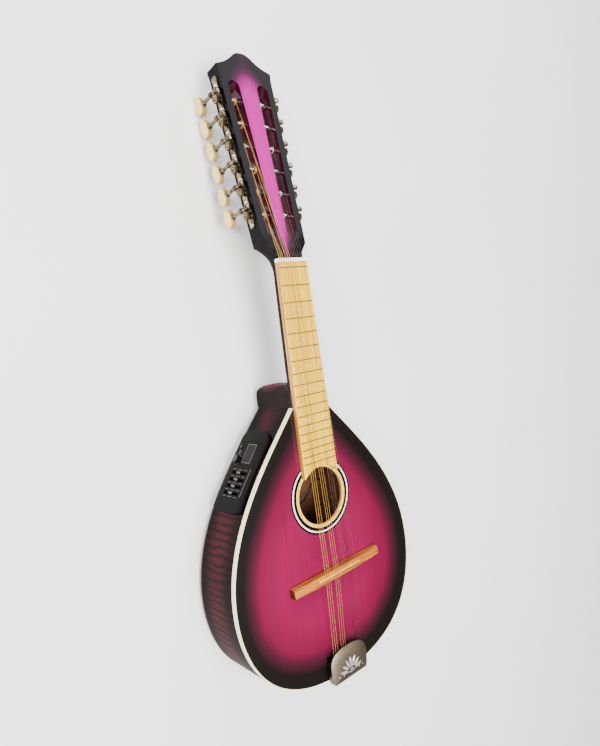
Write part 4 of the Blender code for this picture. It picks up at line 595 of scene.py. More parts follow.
def wound_wire(name, bright, dark, pitch, metallic):
    """String metal whose winding shows as fine rings along its run."""
    material, tree, shader = finish(name, bright, 0.34, metallic=metallic)
    run = add(tree, "ShaderNodeAttribute", attribute_name="run").outputs["Fac"]
    ring = maths(tree, "SINE", maths(tree, "MULTIPLY", run, 2 * math.pi / pitch))
    share = spread(tree, ring, 0, 1, -1, 1)
    feed(shader, "Base Color", ramp(tree, share, ((0.1, dark), (0.6, bright))))
    bumped(tree, shader, share, 0.00005)
    return material


def pearl_finish():
    """Shell with soft coloured patches."""
    material, tree, shader = finish("pearl", srgb(232, 228, 214), 0.20, coat=0.6)
    cloud = noise(tree, object_place(tree, (500, 300, 500)), detail=2)
    shell = ramp(tree, cloud, (
        (0.3, srgb(205, 214, 204)), (0.5, srgb(240, 236, 222)), (0.7, srgb(232, 214, 210))))
    feed(shader, "Base Color", shell)
    return material


def display_finish():
    """The display's dark window with a faint cross hatch behind it."""
    material, tree, shader = finish("display_window", srgb(30, 28, 29), 0.24, coat=0.1, coat_roughness=0.06,
                                    specular=0.0)
    place = object_place(tree, (1, 1, 1), (0, 0, 0.9)).outputs[0]
    hatch = add(tree, "ShaderNodeTexChecker",
                {"Vector": place, "Scale": 900, "Color1": srgb(44, 41, 42), "Color2": srgb(26, 24, 25)})
    feed(shader, "Base Color", hatch.outputs["Color"])
    return material


def cover_finish():
    """The tailpiece cover's plate: warm grey nickel, with a near-white highlight painted on the raised
    ornament's tops and a dark line along its foot.
    """
    material, tree, shader = finish("cover_nickel", srgb(150, 136, 112), 0.30, metallic=1.0)
    relief = add(tree, "ShaderNodeAttribute", attribute_name="relief").outputs["Fac"]
    cloud = noise(tree, object_place(tree, (300, 300, 300)), detail=5, roughness=0.65)
    plain = ramp(tree, cloud, ((0.35, srgb(138, 122, 98)), (0.65, srgb(186, 170, 142))))
    # Painted highlight: the ornament's tops turn near white; a dark line runs along its foot.
    edge = spread(tree, relief, 0, 1, 0.0, 0.12)
    groove = maths(tree, "MULTIPLY", edge, spread(tree, relief, 1, 0, 0.3, 0.45))
    relief_highlight = mixed(tree, spread(tree, relief, 0, 1, 0.4, 0.9), plain, srgb(246, 242, 234))
    feed(shader, "Base Color", mixed(tree, groove, relief_highlight, srgb(52, 44, 36)))
    feed(shader, "Metallic", spread(tree, relief, 1.0, 0.7, 0.4, 0.9))
    rubbed = maths(tree, "MULTIPLY", relief, 0.18)
    feed(shader, "Roughness", maths(tree, "SUBTRACT", varied(tree, cloud, 0.42, 0.30), rubbed))
    bumped(tree, shader, cloud, 0.00003)
    return material


TOP = crimson_burst("crimson_top", srgb(116, 6, 54), srgb(98, 8, 44), srgb(60, 12, 31), srgb(14, 9, 7), 0.5)
BACK_LACQUER = crimson_burst("maroon_back", srgb(76, 16, 32), srgb(64, 14, 28), srgb(40, 12, 20),
                             srgb(17, 12, 11), 0.6)
SIDE = flamed_side()
NECK = neck_lacquer()
HEAD_FACE = head_burst()
HEAD_RIM = plain_gloss("black_rim", srgb(13, 11, 12), srgb(8, 7, 7), (40, 12, 40))
SLOT_WALL = plain_gloss("maroon_slot", srgb(62, 8, 30), srgb(34, 5, 17), (60, 16, 60), coat=0.5)
CREAM = moulded("cream_binding", srgb(242, 232, 182), 0.32, coat=0.4)
RING_BLACK = plain_gloss("ring_black", srgb(16, 14, 13), srgb(11, 10, 10), (80, 80, 80))
RING_WHITE = moulded("ring_white", srgb(244, 242, 230), 0.34, coat=0.4)
RING_CREAM = straight_grain("ring_cream", srgb(244, 208, 70), srgb(222, 178, 60), srgb(160, 120, 44),
                            (500, 60, 300), 0.4, coat=0.4)
BOARD = straight_grain("maple_board", srgb(254, 212, 2), srgb(232, 176, 2), srgb(126, 92, 10),
                       (620, 7, 300), 0.42, coat=0.08, share=0.04)
# The board's side faces: their own grain, in darker colours as painted shade.
SHADED_BOARD_EDGE = straight_grain("board_edge_shaded", srgb(206, 142, 40), srgb(176, 112, 32), srgb(112, 64, 26),
                            (300, 9, 500), 0.45, coat=0.1)
PEARL = pearl_finish()
FRET_METAL = aged_metal("fret_metal", srgb(150, 122, 66), srgb(92, 72, 36), 0.28, 0.42)
BONE = moulded("bone", srgb(246, 243, 236), 0.38)
SADDLE_BONE = moulded("aged_bone", srgb(222, 172, 66), 0.36)
BRIDGE_WOOD = straight_grain("bridge_wood", srgb(202, 126, 4), srgb(160, 88, 4), srgb(72, 38, 6),
                             (16, 420, 420), 0.42, coat=0.1, share=0.05)
END_GRAIN = moulded("end_grain", srgb(84, 42, 12), 0.6, specular=0.1)
NICKEL = aged_metal("nickel", srgb(138, 126, 100), srgb(46, 39, 27), 0.16, 0.36)
STEEL = aged_metal("bright_steel", srgb(232, 229, 222), srgb(180, 172, 160), 0.14, 0.30)
GEAR_METAL = aged_metal("gear_metal", srgb(140, 122, 90), srgb(50, 41, 27), 0.20, 0.40)
COVER = cover_finish()
# The cover's low walls: a darker copy of its nickel, painted shade beside the cover.
SHADED_SKIRT = aged_metal("cover_skirt_shaded", srgb(92, 82, 66), srgb(34, 28, 20), 0.26, 0.40)
IVORY = moulded("ivory_button", srgb(238, 208, 120), 0.30, coat=0.3)
# The buttons' rims: a darker copy of the ivory, painted shade.
SHADED_IVORY_EDGE = moulded("ivory_edge_shaded", srgb(176, 138, 74), 0.34, coat=0.2)
WOUND = wound_wire("wound_bronze", srgb(200, 148, 64), srgb(96, 64, 24), 0.00030, 0.4)
# A brighter copy of the plain wire for its windings on the rollers: painted highlight.
HIGHLIT_WIRE = wound_wire("wire_painted_highlight", srgb(236, 234, 228), srgb(206, 200, 190), 0.00200, 0.7)
PLAIN = wound_wire("plain_wire", srgb(120, 88, 76), srgb(104, 74, 64), 0.00200, 0.8)
SPRUCE = straight_grain("bare_wood", srgb(204, 144, 76), srgb(180, 120, 60), srgb(136, 88, 42),
                        (420, 12, 420), 0.6)
INSIDE = straight_grain("inside_wood", srgb(92, 56, 26), srgb(78, 46, 21), srgb(58, 33, 14),
                        (12, 300, 300), 0.65)
MATTE_BLACK = moulded("matte_black", srgb(15, 14, 14), 0.40, grain=0.00004, specular=0.03)
GLOSS_BLACK = moulded("gloss_black", srgb(14, 14, 14), 0.20, specular=0.3)
DEEP_BLACK = moulded("deep_black", srgb(6, 6, 6), 0.5, specular=0.05)
PRINT = moulded("pale_print", srgb(104, 99, 93), 0.5, specular=0.1)
THUMB = moulded("pale_thumb", srgb(92, 87, 81), 0.4, specular=0.2)
DISPLAY = display_finish()
BATTERY_WRAP = moulded("battery_wrap", srgb(34, 34, 38), 0.35)
LEAD = moulded("lead_rubber", srgb(18, 17, 17), 0.5)


# Mesh tools

def steps_to(end, steps):
    """Equal steps from 0 to end, both with it."""
    return [end * i / steps for i in range(steps + 1)]


def circle_turns(steps):
    """Equal turns once round."""
    return steps_to(2 * math.pi, steps)[:-1]


def bent(value, power):
    """A sine or cosine raised to a power with its sign kept, which squares a curve's shoulders."""
    return math.copysign(abs(value) ** power, value)


def placed(name, data):
    """An object of the scene at the origin."""
    obj = bpy.data.objects.new(name, data)
    bpy.context.scene.collection.objects.link(obj)
    return obj


def second_finish(obj, faces):
    """Give the numbered faces of a piece its second material."""
    for index in faces:
        obj.data.polygons[index].material_index = 1


def evaluated_mesh(obj):
    """The mesh of an object with its modifiers or its bevel applied; the object is removed."""
    if obj.name not in bpy.context.scene.collection.objects:
        bpy.context.scene.collection.objects.link(obj)
    bpy.context.view_layer.update()
    mesh = bpy.data.meshes.new_from_object(obj.evaluated_get(bpy.context.evaluated_depsgraph_get()))
    bpy.data.objects.remove(obj, do_unlink=True)
    return mesh


def tidied(mesh, axes=None):
    """Weld a mesh's loose caps, turn its faces outwards and move it by axes."""
    shape = bmesh.new()
    shape.from_mesh(mesh)
    bmesh.ops.remove_doubles(shape, verts=shape.verts, dist=0.000002)
    bmesh.ops.recalc_face_normals(shape, faces=shape.faces)
    shape.to_mesh(mesh)
    shape.free()
    if axes is not None:
        mesh.transform(axes)
    return mesh


def prism(loops, low, high, axes=None):
    """A plate with the outline loops, the first outside and the others holes, from low to high."""
    curve = bpy.data.curves.new("outline", "CURVE")
    curve.dimensions = "2D"
    curve.fill_mode = "BOTH"
    curve.extrude = (high - low) / 2
    for loop in loops:
        spline = curve.splines.new("POLY")
        spline.points.add(len(loop) - 1)
        for point, (x, y) in zip(spline.points, loop):
            point.co = (x, y, 0.0, 1.0)
        spline.use_cyclic_u = True
    mesh = evaluated_mesh(bpy.data.objects.new("outline", curve))
    lift = Matrix.Translation((0, 0, (high + low) / 2))
    return tidied(mesh, lift if axes is None else axes @ lift)


def turned(profile, steps, axes=None):
    """A turned solid about Z from a profile of radius and height, read down its outer side."""
    rings = []
    for turn in circle_turns(steps):
        across, ahead = math.cos(turn), math.sin(turn)
        rings.append([(radius * across, radius * ahead, height) for radius, height in profile])
    mesh = lofted(rings, closed_run=True, closed_ring=False)
    return tidied(mesh, axes)


def lofted(rings, closed_run=False, closed_ring=True):
    """A skin through rings of points; an open run gets its two ends filled."""
    count = len(rings[0])
    points = [tuple(p) for ring in rings for p in ring]
    faces = []
    for k in range(len(rings) if closed_run else len(rings) - 1):
        near, far = k * count, (k + 1) % len(rings) * count
        for i in range(count if closed_ring else count - 1):
            j = (i + 1) % count
            faces.append((near + i, near + j, far + j, far + i))
    if not closed_run:
        faces.append(tuple(range(count)))
        faces.append(tuple(range(len(points) - 1, len(points) - count - 1, -1)))
    mesh = bpy.data.meshes.new("loft")
    mesh.from_pydata(points, [], faces)
    shape = bmesh.new()
    shape.from_mesh(mesh)
    bmesh.ops.recalc_face_normals(shape, faces=shape.faces)
    shape.to_mesh(mesh)
    shape.free()
    return mesh


def drill(radius, high, low, steps, axes):
    """A plain round bar about Z, to bore with."""
    return turned([(0, high), (radius, high), (radius, low), (0, low)], steps, axes)


def block(low, high, axes=None):
    """A rectangular block between two corners."""
    shape = bmesh.new()
    bmesh.ops.create_cube(shape, size=1.0)
    size = Vector(high) - Vector(low)
    centre = (Vector(high) + Vector(low)) / 2
    place = Matrix.Translation(centre) @ Matrix.Diagonal((*size, 1))
    bmesh.ops.transform(shape, matrix=place if axes is None else axes @ place, verts=shape.verts)
    bmesh.ops.recalc_face_normals(shape, faces=shape.faces)
    mesh = bpy.data.meshes.new("block")
    shape.to_mesh(mesh)
    shape.free()
    return mesh


def softened(mesh, width, segments=3, angle=40):
    """The mesh with its edges rounded."""
    obj = bpy.data.objects.new("edges", mesh)
    bevel = obj.modifiers.new("edges", "BEVEL")
    bevel.width = width
    bevel.segments = segments
    bevel.limit_method = "ANGLE"
    bevel.angle_limit = math.radians(angle)
    return evaluated_mesh(obj)


def cut(mesh, tools):
    """A mesh cut by closed tools."""
    obj = bpy.data.objects.new("base", mesh)
    cutters = []
    for tool in tools:
        cutter = placed("cutter", tool)
        modifier = obj.modifiers.new("cut", "BOOLEAN")
        modifier.operation = "DIFFERENCE"
        modifier.solver = "EXACT"
        modifier.object = cutter
        cutters.append(cutter)
    result = evaluated_mesh(obj)
    for cutter in cutters:
        bpy.data.objects.remove(cutter, do_unlink=True)
    return result


def joined(parts):
    """One mesh of several, each given with its material."""
    result = bpy.data.meshes.new("group")
    shape = bmesh.new()
    for mesh, material in parts:
        if material not in list(result.materials):
            result.materials.append(material)
        index = list(result.materials).index(material)
        first = len(shape.faces)
        shape.from_mesh(mesh)
        shape.faces.ensure_lookup_table()
        for face in shape.faces[first:]:
            face.material_index = index
    shape.to_mesh(result)
    shape.free()
    return result


def repainted(mesh, old, new, test):
    """Give the faces of one material that pass a test another material."""
    mesh.materials.append(new)
    index = list(mesh.materials).index(old)
    for face in mesh.polygons:
        if face.material_index == index and test(face):
            face.material_index = len(mesh.materials) - 1
    return mesh


def piece(name, mesh, materials, body=BODY, replaces=(), axes=None, angle=32):
    """A finished piece: its mesh in the model's frame, its materials, and the body it rides on."""
    mesh.name = name
    if materials:
        mesh.materials.clear()
        for material in materials:
            mesh.materials.append(material)
    mesh.transform(INSTRUMENT if axes is None else INSTRUMENT @ axes)
    mesh.shade_smooth()
    mesh.set_sharp_from_angle(angle=math.radians(angle))
    obj = placed(name, mesh)
    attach(obj, body)
    if replaces:
        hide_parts(*replaces)
    return obj


def dress(node, material):
    """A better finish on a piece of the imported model."""
    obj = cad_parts[node]
    for place in obj.material_slots:
        place.material = material


# Geometry trees for what repeats or follows a path

def growing_tree(name, sizes):
    """An empty geometry tree with a named input for each size, and its input and output nodes."""
    tree = bpy.data.node_groups.new(name, "GeometryNodeTree")
    tree.interface.new_socket("Geometry", in_out="INPUT", socket_type="NodeSocketGeometry")
    for label, kind in sizes:
        tree.interface.new_socket(label, in_out="INPUT", socket_type="NodeSocket" + kind)
    tree.interface.new_socket("Geometry", in_out="OUTPUT", socket_type="NodeSocketGeometry")
    return tree, tree.nodes.new("NodeGroupInput"), tree.nodes.new("NodeGroupOutput")


def closed_tree(tree, result, geometry, material):
    """End a tree with real geometry that wears its material."""
    smooth = add(tree, "GeometryNodeSetShadeSmooth", {"Geometry": geometry})
    real = add(tree, "GeometryNodeRealizeInstances", {"Geometry": smooth.outputs[0]})
    dressed = add(tree, "GeometryNodeSetMaterial", {"Geometry": real.outputs[0], "Material": material})
    tree.links.new(dressed.outputs[0], result.inputs[0])
    return tree


def grown(tree, values, mesh=None):
    """The plain mesh that a tree makes from a mesh and its sizes."""
    obj = bpy.data.objects.new("grown", mesh or bpy.data.meshes.new("seed"))
    modifier = obj.modifiers.new("grow", "NODES")
    modifier.node_group = tree
    for item in tree.interface.items_tree:
        if item.in_out == "INPUT" and item.name in values:
            modifier[item.identifier] = values[item.name]
    return evaluated_mesh(obj)


def skinned(tree, lines, sides, radius):
    """A round skin along a node's curves, its ends filled."""
    ring = add(tree, "GeometryNodeCurvePrimitiveCircle", {"Resolution": sides, "Radius": radius})
    inputs = {0: lines.outputs[0], 1: ring.outputs[0], "Fill Caps": True}
    return add(tree, "GeometryNodeCurveToMesh", inputs).outputs[0]


def wire_tree():
    """A round wire along each line of the mesh that it is given, with its run stored for the winding."""
    sizes = (("Radius", "Float"), ("Sides", "Int"), ("Finish", "Material"))
    tree, source, result = growing_tree("wire", sizes)
    lines = add(tree, "GeometryNodeMeshToCurve", {0: source.outputs["Geometry"]})
    along = add(tree, "GeometryNodeSplineParameter")
    inputs = {"Geometry": lines.outputs[0], "Name": "run", "Value": along.outputs["Length"]}
    stored = add(tree, "GeometryNodeStoreNamedAttribute", inputs, data_type="FLOAT")
    skin = skinned(tree, stored, source.outputs["Sides"], source.outputs["Radius"])
    return closed_tree(tree, result, skin, source.outputs["Finish"])


def coil_tree():
    """A wire wound in a helix about Z, centred on the origin."""
    sizes = (("Turns", "Float"), ("Radius", "Float"), ("Wire", "Float"), ("Height", "Float"),
             ("Sides", "Int"), ("Finish", "Material"))
    tree, source, result = growing_tree("coil", sizes)
    helix = add(tree, "GeometryNodeCurveSpiral",
                {"Resolution": COIL_STEPS, "Rotations": source.outputs["Turns"],
                 "Start Radius": source.outputs["Radius"], "End Radius": source.outputs["Radius"],
                 "Height": source.outputs["Height"]})
    half = add(tree, "ShaderNodeMath", {0: source.outputs["Height"], 1: -0.5}, operation="MULTIPLY")
    down = add(tree, "ShaderNodeCombineXYZ", {"Z": half.outputs[0]})
    centred = add(tree, "GeometryNodeTransform",
                  {"Geometry": helix.outputs[0], "Translation": down.outputs[0]})
    skin = skinned(tree, centred, source.outputs["Sides"], source.outputs["Wire"])
    return closed_tree(tree, result, skin, source.outputs["Finish"])


def fret_tree():
    """Crowned wires across the board, each at its place along the scale and as long as the board is wide."""
    sizes = (("Frets", "Int"), ("Scale Length", "Float"), ("Nut Half", "Float"), ("Flare", "Float"),
             ("Height", "Float"), ("Wire", "Object"), ("Finish", "Material"))
    tree, source, result = growing_tree("frets", sizes)
    line = add(tree, "GeometryNodeMeshLine", {"Count": source.outputs["Frets"]})
    number = add(tree, "GeometryNodeInputIndex").outputs[0]
    share = maths(tree, "POWER", 2.0, maths(tree, "DIVIDE", number, -12.0))
    back = maths(tree, "MULTIPLY", maths(tree, "SUBTRACT", share, 1.0), source.outputs["Scale Length"])
    spot = add(tree, "ShaderNodeCombineXYZ", {"Y": back, "Z": source.outputs["Height"]})
    places = add(tree, "GeometryNodeSetPosition", {"Geometry": line.outputs[0], "Position": spot.outputs[0]})
    grows = maths(tree, "MULTIPLY", back, source.outputs["Flare"])
    half = maths(tree, "SUBTRACT", maths(tree, "SUBTRACT", source.outputs["Nut Half"], grows), FRET_INSET)
    stretch = add(tree, "ShaderNodeCombineXYZ", {"X": half, "Y": 1.0, "Z": 1.0})
    wire = add(tree, "GeometryNodeObjectInfo", {"Object": source.outputs["Wire"]})
    inputs = {"Points": places.outputs[0], "Instance": wire.outputs["Geometry"], "Scale": stretch.outputs[0]}
    laid = add(tree, "GeometryNodeInstanceOnPoints", inputs)
    return closed_tree(tree, result, laid.outputs[0], source.outputs["Finish"])


def screw_tree():
    """A screw standing on each point of the mesh that it is given, turned about by a seeded amount."""
    sizes = (("Screw", "Object"), ("Seed", "Int"), ("Finish", "Material"))
    tree, source, result = growing_tree("screws", sizes)
    screw = add(tree, "GeometryNodeObjectInfo", {"Object": source.outputs["Screw"]})
    turn = add(tree, "FunctionNodeRandomValue",
               {"Max": 3.0, "Seed": source.outputs["Seed"]}, data_type="FLOAT")
    value = [s for s in turn.outputs if s.enabled][0]
    spin = add(tree, "ShaderNodeCombineXYZ", {"Z": value})
    inputs = {"Points": source.outputs["Geometry"], "Instance": screw.outputs["Geometry"],
              "Rotation": spin.outputs[0]}
    laid = add(tree, "GeometryNodeInstanceOnPoints", inputs)
    return closed_tree(tree, result, laid.outputs[0], source.outputs["Finish"])


WIRE_TREE = wire_tree()
COIL_TREE = coil_tree()
FRET_TREE = fret_tree()
SCREW_TREE = screw_tree()


def wires(routes, radius, material, sides=10):
    """Round wires along routes of points."""
    mesh = bpy.data.meshes.new("routes")
    points, edges = [], []
    for route in routes:
        start = len(points)
        points += [tuple(p) for p in route]
        edges += [(start + i, start + i + 1) for i in range(len(route) - 1)]
    mesh.from_pydata(points, edges, [])
    return grown(WIRE_TREE, {"Radius": radius, "Sides": sides, "Finish": material}, mesh)


def coil(count, radius, wire, height, material, sides=8):
    """A helix of wire about Z."""
    values = {"Turns": count, "Radius": radius, "Wire": wire, "Height": height, "Sides": sides}
    return grown(COIL_TREE, values | {"Finish": material})


def screws(places, material, seed):
    """Slotted dome screws on points of a face, their heads along +Z."""
    radius, height = SCREW_HEAD_RADIUS, SCREW_HEAD_HEIGHT
    dome = [(0.0, height)]
    for turn in steps_to(math.pi / 2, 8)[1:]:
        dome.append((radius * math.sin(turn), height * math.cos(turn) ** 0.8))
    dome += [(radius, -height * 0.2), (0.0, -height * 0.2)]
    head = turned(dome, 24)
    wide, half = radius * 1.1, radius * 0.12
    slot = block((-wide, -half, height * 0.55), (wide, half, height * 1.2))
    guide = placed("screw", cut(head, [slot]))
    points = bpy.data.meshes.new("places")
    points.from_pydata([tuple(p) for p in places], [], [])
    mesh = grown(SCREW_TREE, {"Screw": guide, "Seed": seed, "Finish": material}, points)
    bpy.data.objects.remove(guide, do_unlink=True)
    return mesh


# Outlines and places shared by several pieces

def bezier(p0, p1, p2, p3, steps):
    """Points along a cubic curve, its start left out."""
    route = []
    for t in steps_to(1, steps)[1:]:
        rest = 1 - t
        route.append(p0 * rest ** 3 + p1 * (3 * rest ** 2 * t) + p2 * (3 * rest * t * t) + p3 * t ** 3)
    return route


def half_outline():
    """The treble half of the body's outline, from the heel's corner to the tail."""
    corner = Vector((SHOULDER_HALF, BODY_FRONT_Y))
    leaving = Vector((math.sin(SHOULDER_ANGLE), -math.cos(SHOULDER_ANGLE)))
    widest = Vector((BODY_HALF, WIDEST_Y))
    tail = Vector((0.0, TAIL_Y))
    over = widest + Vector((0, UPPER_PULL))
    under = widest - Vector((0, LOWER_PULL))
    upper = bezier(corner, corner + leaving * SHOULDER_PULL, over, widest, OUTLINE_STEPS)
    lower = bezier(widest, under, tail + Vector((TAIL_PULL, 0)), tail, OUTLINE_STEPS)
    return [corner] + upper + lower


def burst_shares(end, steps):
    """Shares of the way from the middle to the rim, closer together where the burst fades."""
    outer = [BURST_START + share for share in steps_to(end - BURST_START, steps)[1:]]
    return steps_to(BURST_START, 10) + outer


def side_path(inset):
    """The treble half of the outline, drawn in square to itself by inset."""
    half = half_outline()
    leaving = Vector((math.sin(SHOULDER_ANGLE), -math.cos(SHOULDER_ANGLE)))
    path = []
    for i, point in enumerate(half):
        before = half[i - 1] if i > 0 else point - leaving
        after = half[i + 1] if i + 1 < len(half) else Vector((-before.x, before.y))
        along = (after - before).normalized() if i > 0 else leaving
        path.append((point.x + along.y * inset, point.y - along.x * inset))
    return path


def whole_path(inset):
    """The outline from the treble corner round the tail to the bass corner."""
    half = side_path(inset)
    return half + [(-x, y) for x, y in reversed(half[:-1])]


def closed_outline(inset):
    """The whole outline with its straight front edge at the neck joint."""
    path = whole_path(inset)
    corner = path[0][0] - inset * 0.8
    front = [(corner * (2 * i / FRONT_STEPS - 1), BODY_FRONT_Y) for i in range(FRONT_STEPS + 1)]
    return path + front


def edge_distance(points):
    """Distance of each plan point from the body's outline, the front edge left out."""
    path = np.array(whole_path(0.0))
    start, along = path[:-1], np.diff(path, axis=0)
    span = (along ** 2).sum(1)
    result = []
    for point in np.asarray(points):
        share = np.clip(((point - start) * along).sum(1) / span, 0, 1)
        gap = point - (start + share[:, None] * along)
        result.append(math.sqrt((gap ** 2).sum(1).min()))
    return np.array(result)


def store(mesh, name, values):
    """Keep a value for each point of a mesh."""
    mesh.attributes.new(name, "FLOAT", "POINT").data.foreach_set("value", np.asarray(values, np.float32))


def store_burst(mesh):
    """Keep each point's distance from the rim, shortened where the burst is wider."""
    plan = np.array([tuple(v.co)[:2] for v in mesh.vertices])
    tail = np.clip((WIDEST_Y - plan[:, 1]) / (WIDEST_Y - TAIL_Y), 0, 1) ** 2
    treble = np.clip((plan[:, 0] / BODY_HALF + 0.4) / 1.2, 0, 1)
    store(mesh, "edge", edge_distance(plan) / (1 + BURST_TREBLE_WIDER * treble + BURST_TAIL_WIDER * tail))


def back_plane_z(y):
    """Height of the back plate's outer face."""
    return -FRONT_DEPTH + (y - BODY_FRONT_Y) * math.tan(BACK_SLOPE)


def smooth_through(points, steps):
    """Points along a smooth curve through the given ones."""
    path = [Vector(p) for p in points]
    padded = [path[0] * 2 - path[1]] + path + [path[-1] * 2 - path[-2]]
    route = [path[0]]
    for before, start, end, after in zip(padded, padded[1:], padded[2:], padded[3:]):
        route += bezier(start, start + (end - before) / 6, end - (after - start) / 6, end, steps)
    return route


def board_half(y):
    """Half the fingerboard's width."""
    return NUT_HALF - y * BOARD_FLARE


def oval(half, height, roundness, steps):
    """Points across a neck: flat on top, round underneath, from treble to bass."""
    points = []
    for turn in steps_to(math.pi, steps):
        power = 2 / roundness
        points.append((half * bent(math.cos(turn), power), -height * bent(math.sin(turn), power)))
    return points


def side_frames():
    """The frames of the head's two side faces, in the head's frame: X along, Z outwards."""
    lean, out = math.sin(SIDE_ANGLE), math.cos(SIDE_ANGLE)
    frames = []
    for side in (1, -1):
        axes = Matrix(((side * lean, 0, side * out, side * HEAD_FOOT_HALF), (out, 0, -lean, HEAD_FOOT),
                       (0, side, 0, 0), (0, 0, 0, 1)))
        frames.append((axes, side, "treble" if side > 0 else "bass"))
    return frames


def roller_places():
    """Distances of the rollers along the side faces."""
    return [(TUNER_START - HEAD_FOOT + TUNER_PITCH * i) / math.cos(SIDE_ANGLE) for i in range(TUNERS_A_SIDE)]


def string_places():
    """For each string: its course, radius and X at the nut, the saddle and the tailpiece."""
    places = []
    for course in range(COURSES):
        for string in range(STRINGS_A_COURSE):
            across = course - (COURSES - 1) / 2
            beside = string - (STRINGS_A_COURSE - 1) / 2
            places.append({
                "course": course,
                "radius": STRING_RADII[course],
                "nut": NUT_COURSE_X + NUT_COURSE_PITCH * across + NUT_STRING_PITCH * beside,
                "saddle": BRIDGE_COURSE_X + BRIDGE_COURSE_PITCH * across + BRIDGE_STRING_PITCH * beside,
                "hook": TAIL_COURSE_X + TAIL_COURSE_PITCH * across + TAIL_STRING_PITCH * beside,
            })
    return places


def roller_of(index):
    """A string's side, its roller counted from the nut, and its X on the roller."""
    count = COURSES * STRINGS_A_COURSE
    side = -1 if index < count / 2 else 1
    order = index if side < 0 else count - 1 - index
    return side, ROLLER_OF_STRING[order], side * ROLLER_STRING_X[order]


def wall_frame():
    """The preamp's frame: X along the chord of the bass-side wall, Y up, Z outwards."""
    path = [Vector((-x, y)) for x, y in side_path(0.0)]
    spots = []
    for before, after in zip(path, path[1:]):
        if before.y >= PANEL_START_Y > after.y:
            start = before.lerp(after, (before.y - PANEL_START_Y) / (before.y - after.y))
            spots = [start]
        elif spots and (after - start).length >= PANEL_LENGTH and len(spots) == 1:
            near, far = (before - start).length, (after - start).length
            spots.append(before.lerp(after, (PANEL_LENGTH - near) / (far - near)))
    start, end = spots
    along = Vector((end.x - start.x, end.y - start.y, 0)).normalized()
    up = Vector((0, 0, 1))
    axes = Matrix((along, up, along.cross(up))).transposed().to_4x4()
    return Matrix.Translation((start.x, start.y, 0)) @ axes


WALL = wall_frame()


# Body

def soundboard():
    """The top with its grain and burst, cut for the rosette's ledge and the soundhole."""
    outline = closed_outline(BINDING_THICKNESS + SEAM)
    centre = Vector((0, HOLE_Y))
    seat = ROSETTE_RADIUS + SEAM
    ledge = -ROSETTE_THICKNESS - SEAM
    shares = burst_shares(1.0, 22)
    rings = []
    for x, y in outline:
        away = Vector((x, y)) - centre
        reach, way = away.length, away.normalized()
        section = [(HOLE_RADIUS, -SOUNDBOARD_THICKNESS), (HOLE_RADIUS, ledge), (seat, ledge)]
        section += [(seat + (reach - seat) * share, 0.0) for share in shares]
        section += [(reach, -SOUNDBOARD_THICKNESS)]
        rings.append([(way.x * r, HOLE_Y + way.y * r, z) for r, z in section])
    mesh = lofted(rings, closed_run=True)
    store_burst(mesh)
    inside = [f.index for f in mesh.polygons
              if f.normal.z < -0.5 or (Vector(f.center[:2]) - centre).length < seat]
    board = piece("crimson_soundboard", mesh, [TOP, SPRUCE], replaces=["soundboard"])
    second_finish(board, inside)


def rosette():
    """Four rings let into the top: black, white, black and a cream one round the hole."""
    shares = (1.0, 0.952, 0.910, 0.826, HOLE_RADIUS / ROSETTE_RADIUS)
    rings = []
    for outer, inner, material in zip(shares, shares[1:], (RING_BLACK, RING_WHITE, RING_BLACK, RING_CREAM)):
        r1 = ROSETTE_RADIUS * outer
        r0 = ROSETTE_RADIUS * inner + SEAM / 2
        edge = SEAM * 2
        profile = [(r0, -ROSETTE_THICKNESS), (r0, -edge), (r0 + edge, 0.0), (r1 - edge, 0.0), (r1, -edge),
                   (r1, -ROSETTE_THICKNESS), (r0, -ROSETTE_THICKNESS)]
        rings.append((turned(profile, 128, Matrix.Translation((0, HOLE_Y, 0))), material))
    piece("rosette_rings", joined(rings), None, replaces=["rosette"])


def banded(section_at):
    """A strip round the body: section_at gives each place's (inset, height) points."""
    paths = {}
    rings = []
    for index in range(2 * len(half_outline()) - 1):
        ring = []
        for inset, height in section_at(index):
            if inset not in paths:
                paths[inset] = whole_path(inset)
            ring.append((*paths[inset][index], height))
        rings.append(ring)
    return lofted(rings)


def binding():
    """The cream strip round the top edge, its outer corner rounded over."""
    radius = 0.0005
    section = [(0.0, -BINDING_HEIGHT)]
    for turn in (0, 0.4, 0.8, 1.2, math.pi / 2):
        section.append((radius * (1 - math.cos(turn)), -radius * (1 - math.sin(turn))))
    section += [(BINDING_THICKNESS, 0.0), (BINDING_THICKNESS, -BINDING_HEIGHT)]
    strip = banded(lambda index: section)
    piece("cream_binding_strip", strip, [CREAM], replaces=["binding"])


def side_wall():
    """The bent sides with their flame, cut for the preamp's housing and the jack."""
    outline = whole_path(0.0)
    top = -BINDING_HEIGHT - SEAM
    rows = 10

    def section_at(index):
        low = back_plane_z(outline[index][1]) + BACK_THICKNESS / math.cos(BACK_SLOPE) + SEAM
        outer = [(0.0, low + rise) for rise in steps_to(top - low, rows)]
        return outer + [(RIB_THICKNESS, top), (RIB_THICKNESS, low)]

    mesh = banded(section_at)
    run = np.concatenate([[0], np.cumsum(np.linalg.norm(np.diff(np.array(outline), axis=0), axis=1))])
    shares = steps_to(1, rows) + [1.0, 0.0]
    layer = mesh.uv_layers.new(name="wall")
    count = len(shares)
    for loop in mesh.loops:
        layer.data[loop.index].uv = (run[loop.vertex_index // count], shares[loop.vertex_index % count])
    height = HOUSING_HEIGHT / 2 + GAP
    window = block((HOUSING_MARGIN - GAP, PANEL_CENTRE_Z - height, -HOUSING_DEPTH),
                   (PANEL_LENGTH - HOUSING_MARGIN + GAP, PANEL_CENTRE_Z + height, HOUSING_DEPTH), WALL)
    bore = drill(JACK_BARREL_RADIUS + GAP, 0.01, -0.01, 32, JACK)
    piece("flamed_sides", cut(mesh, [window, bore]), [SIDE], replaces=["side_ribs"])


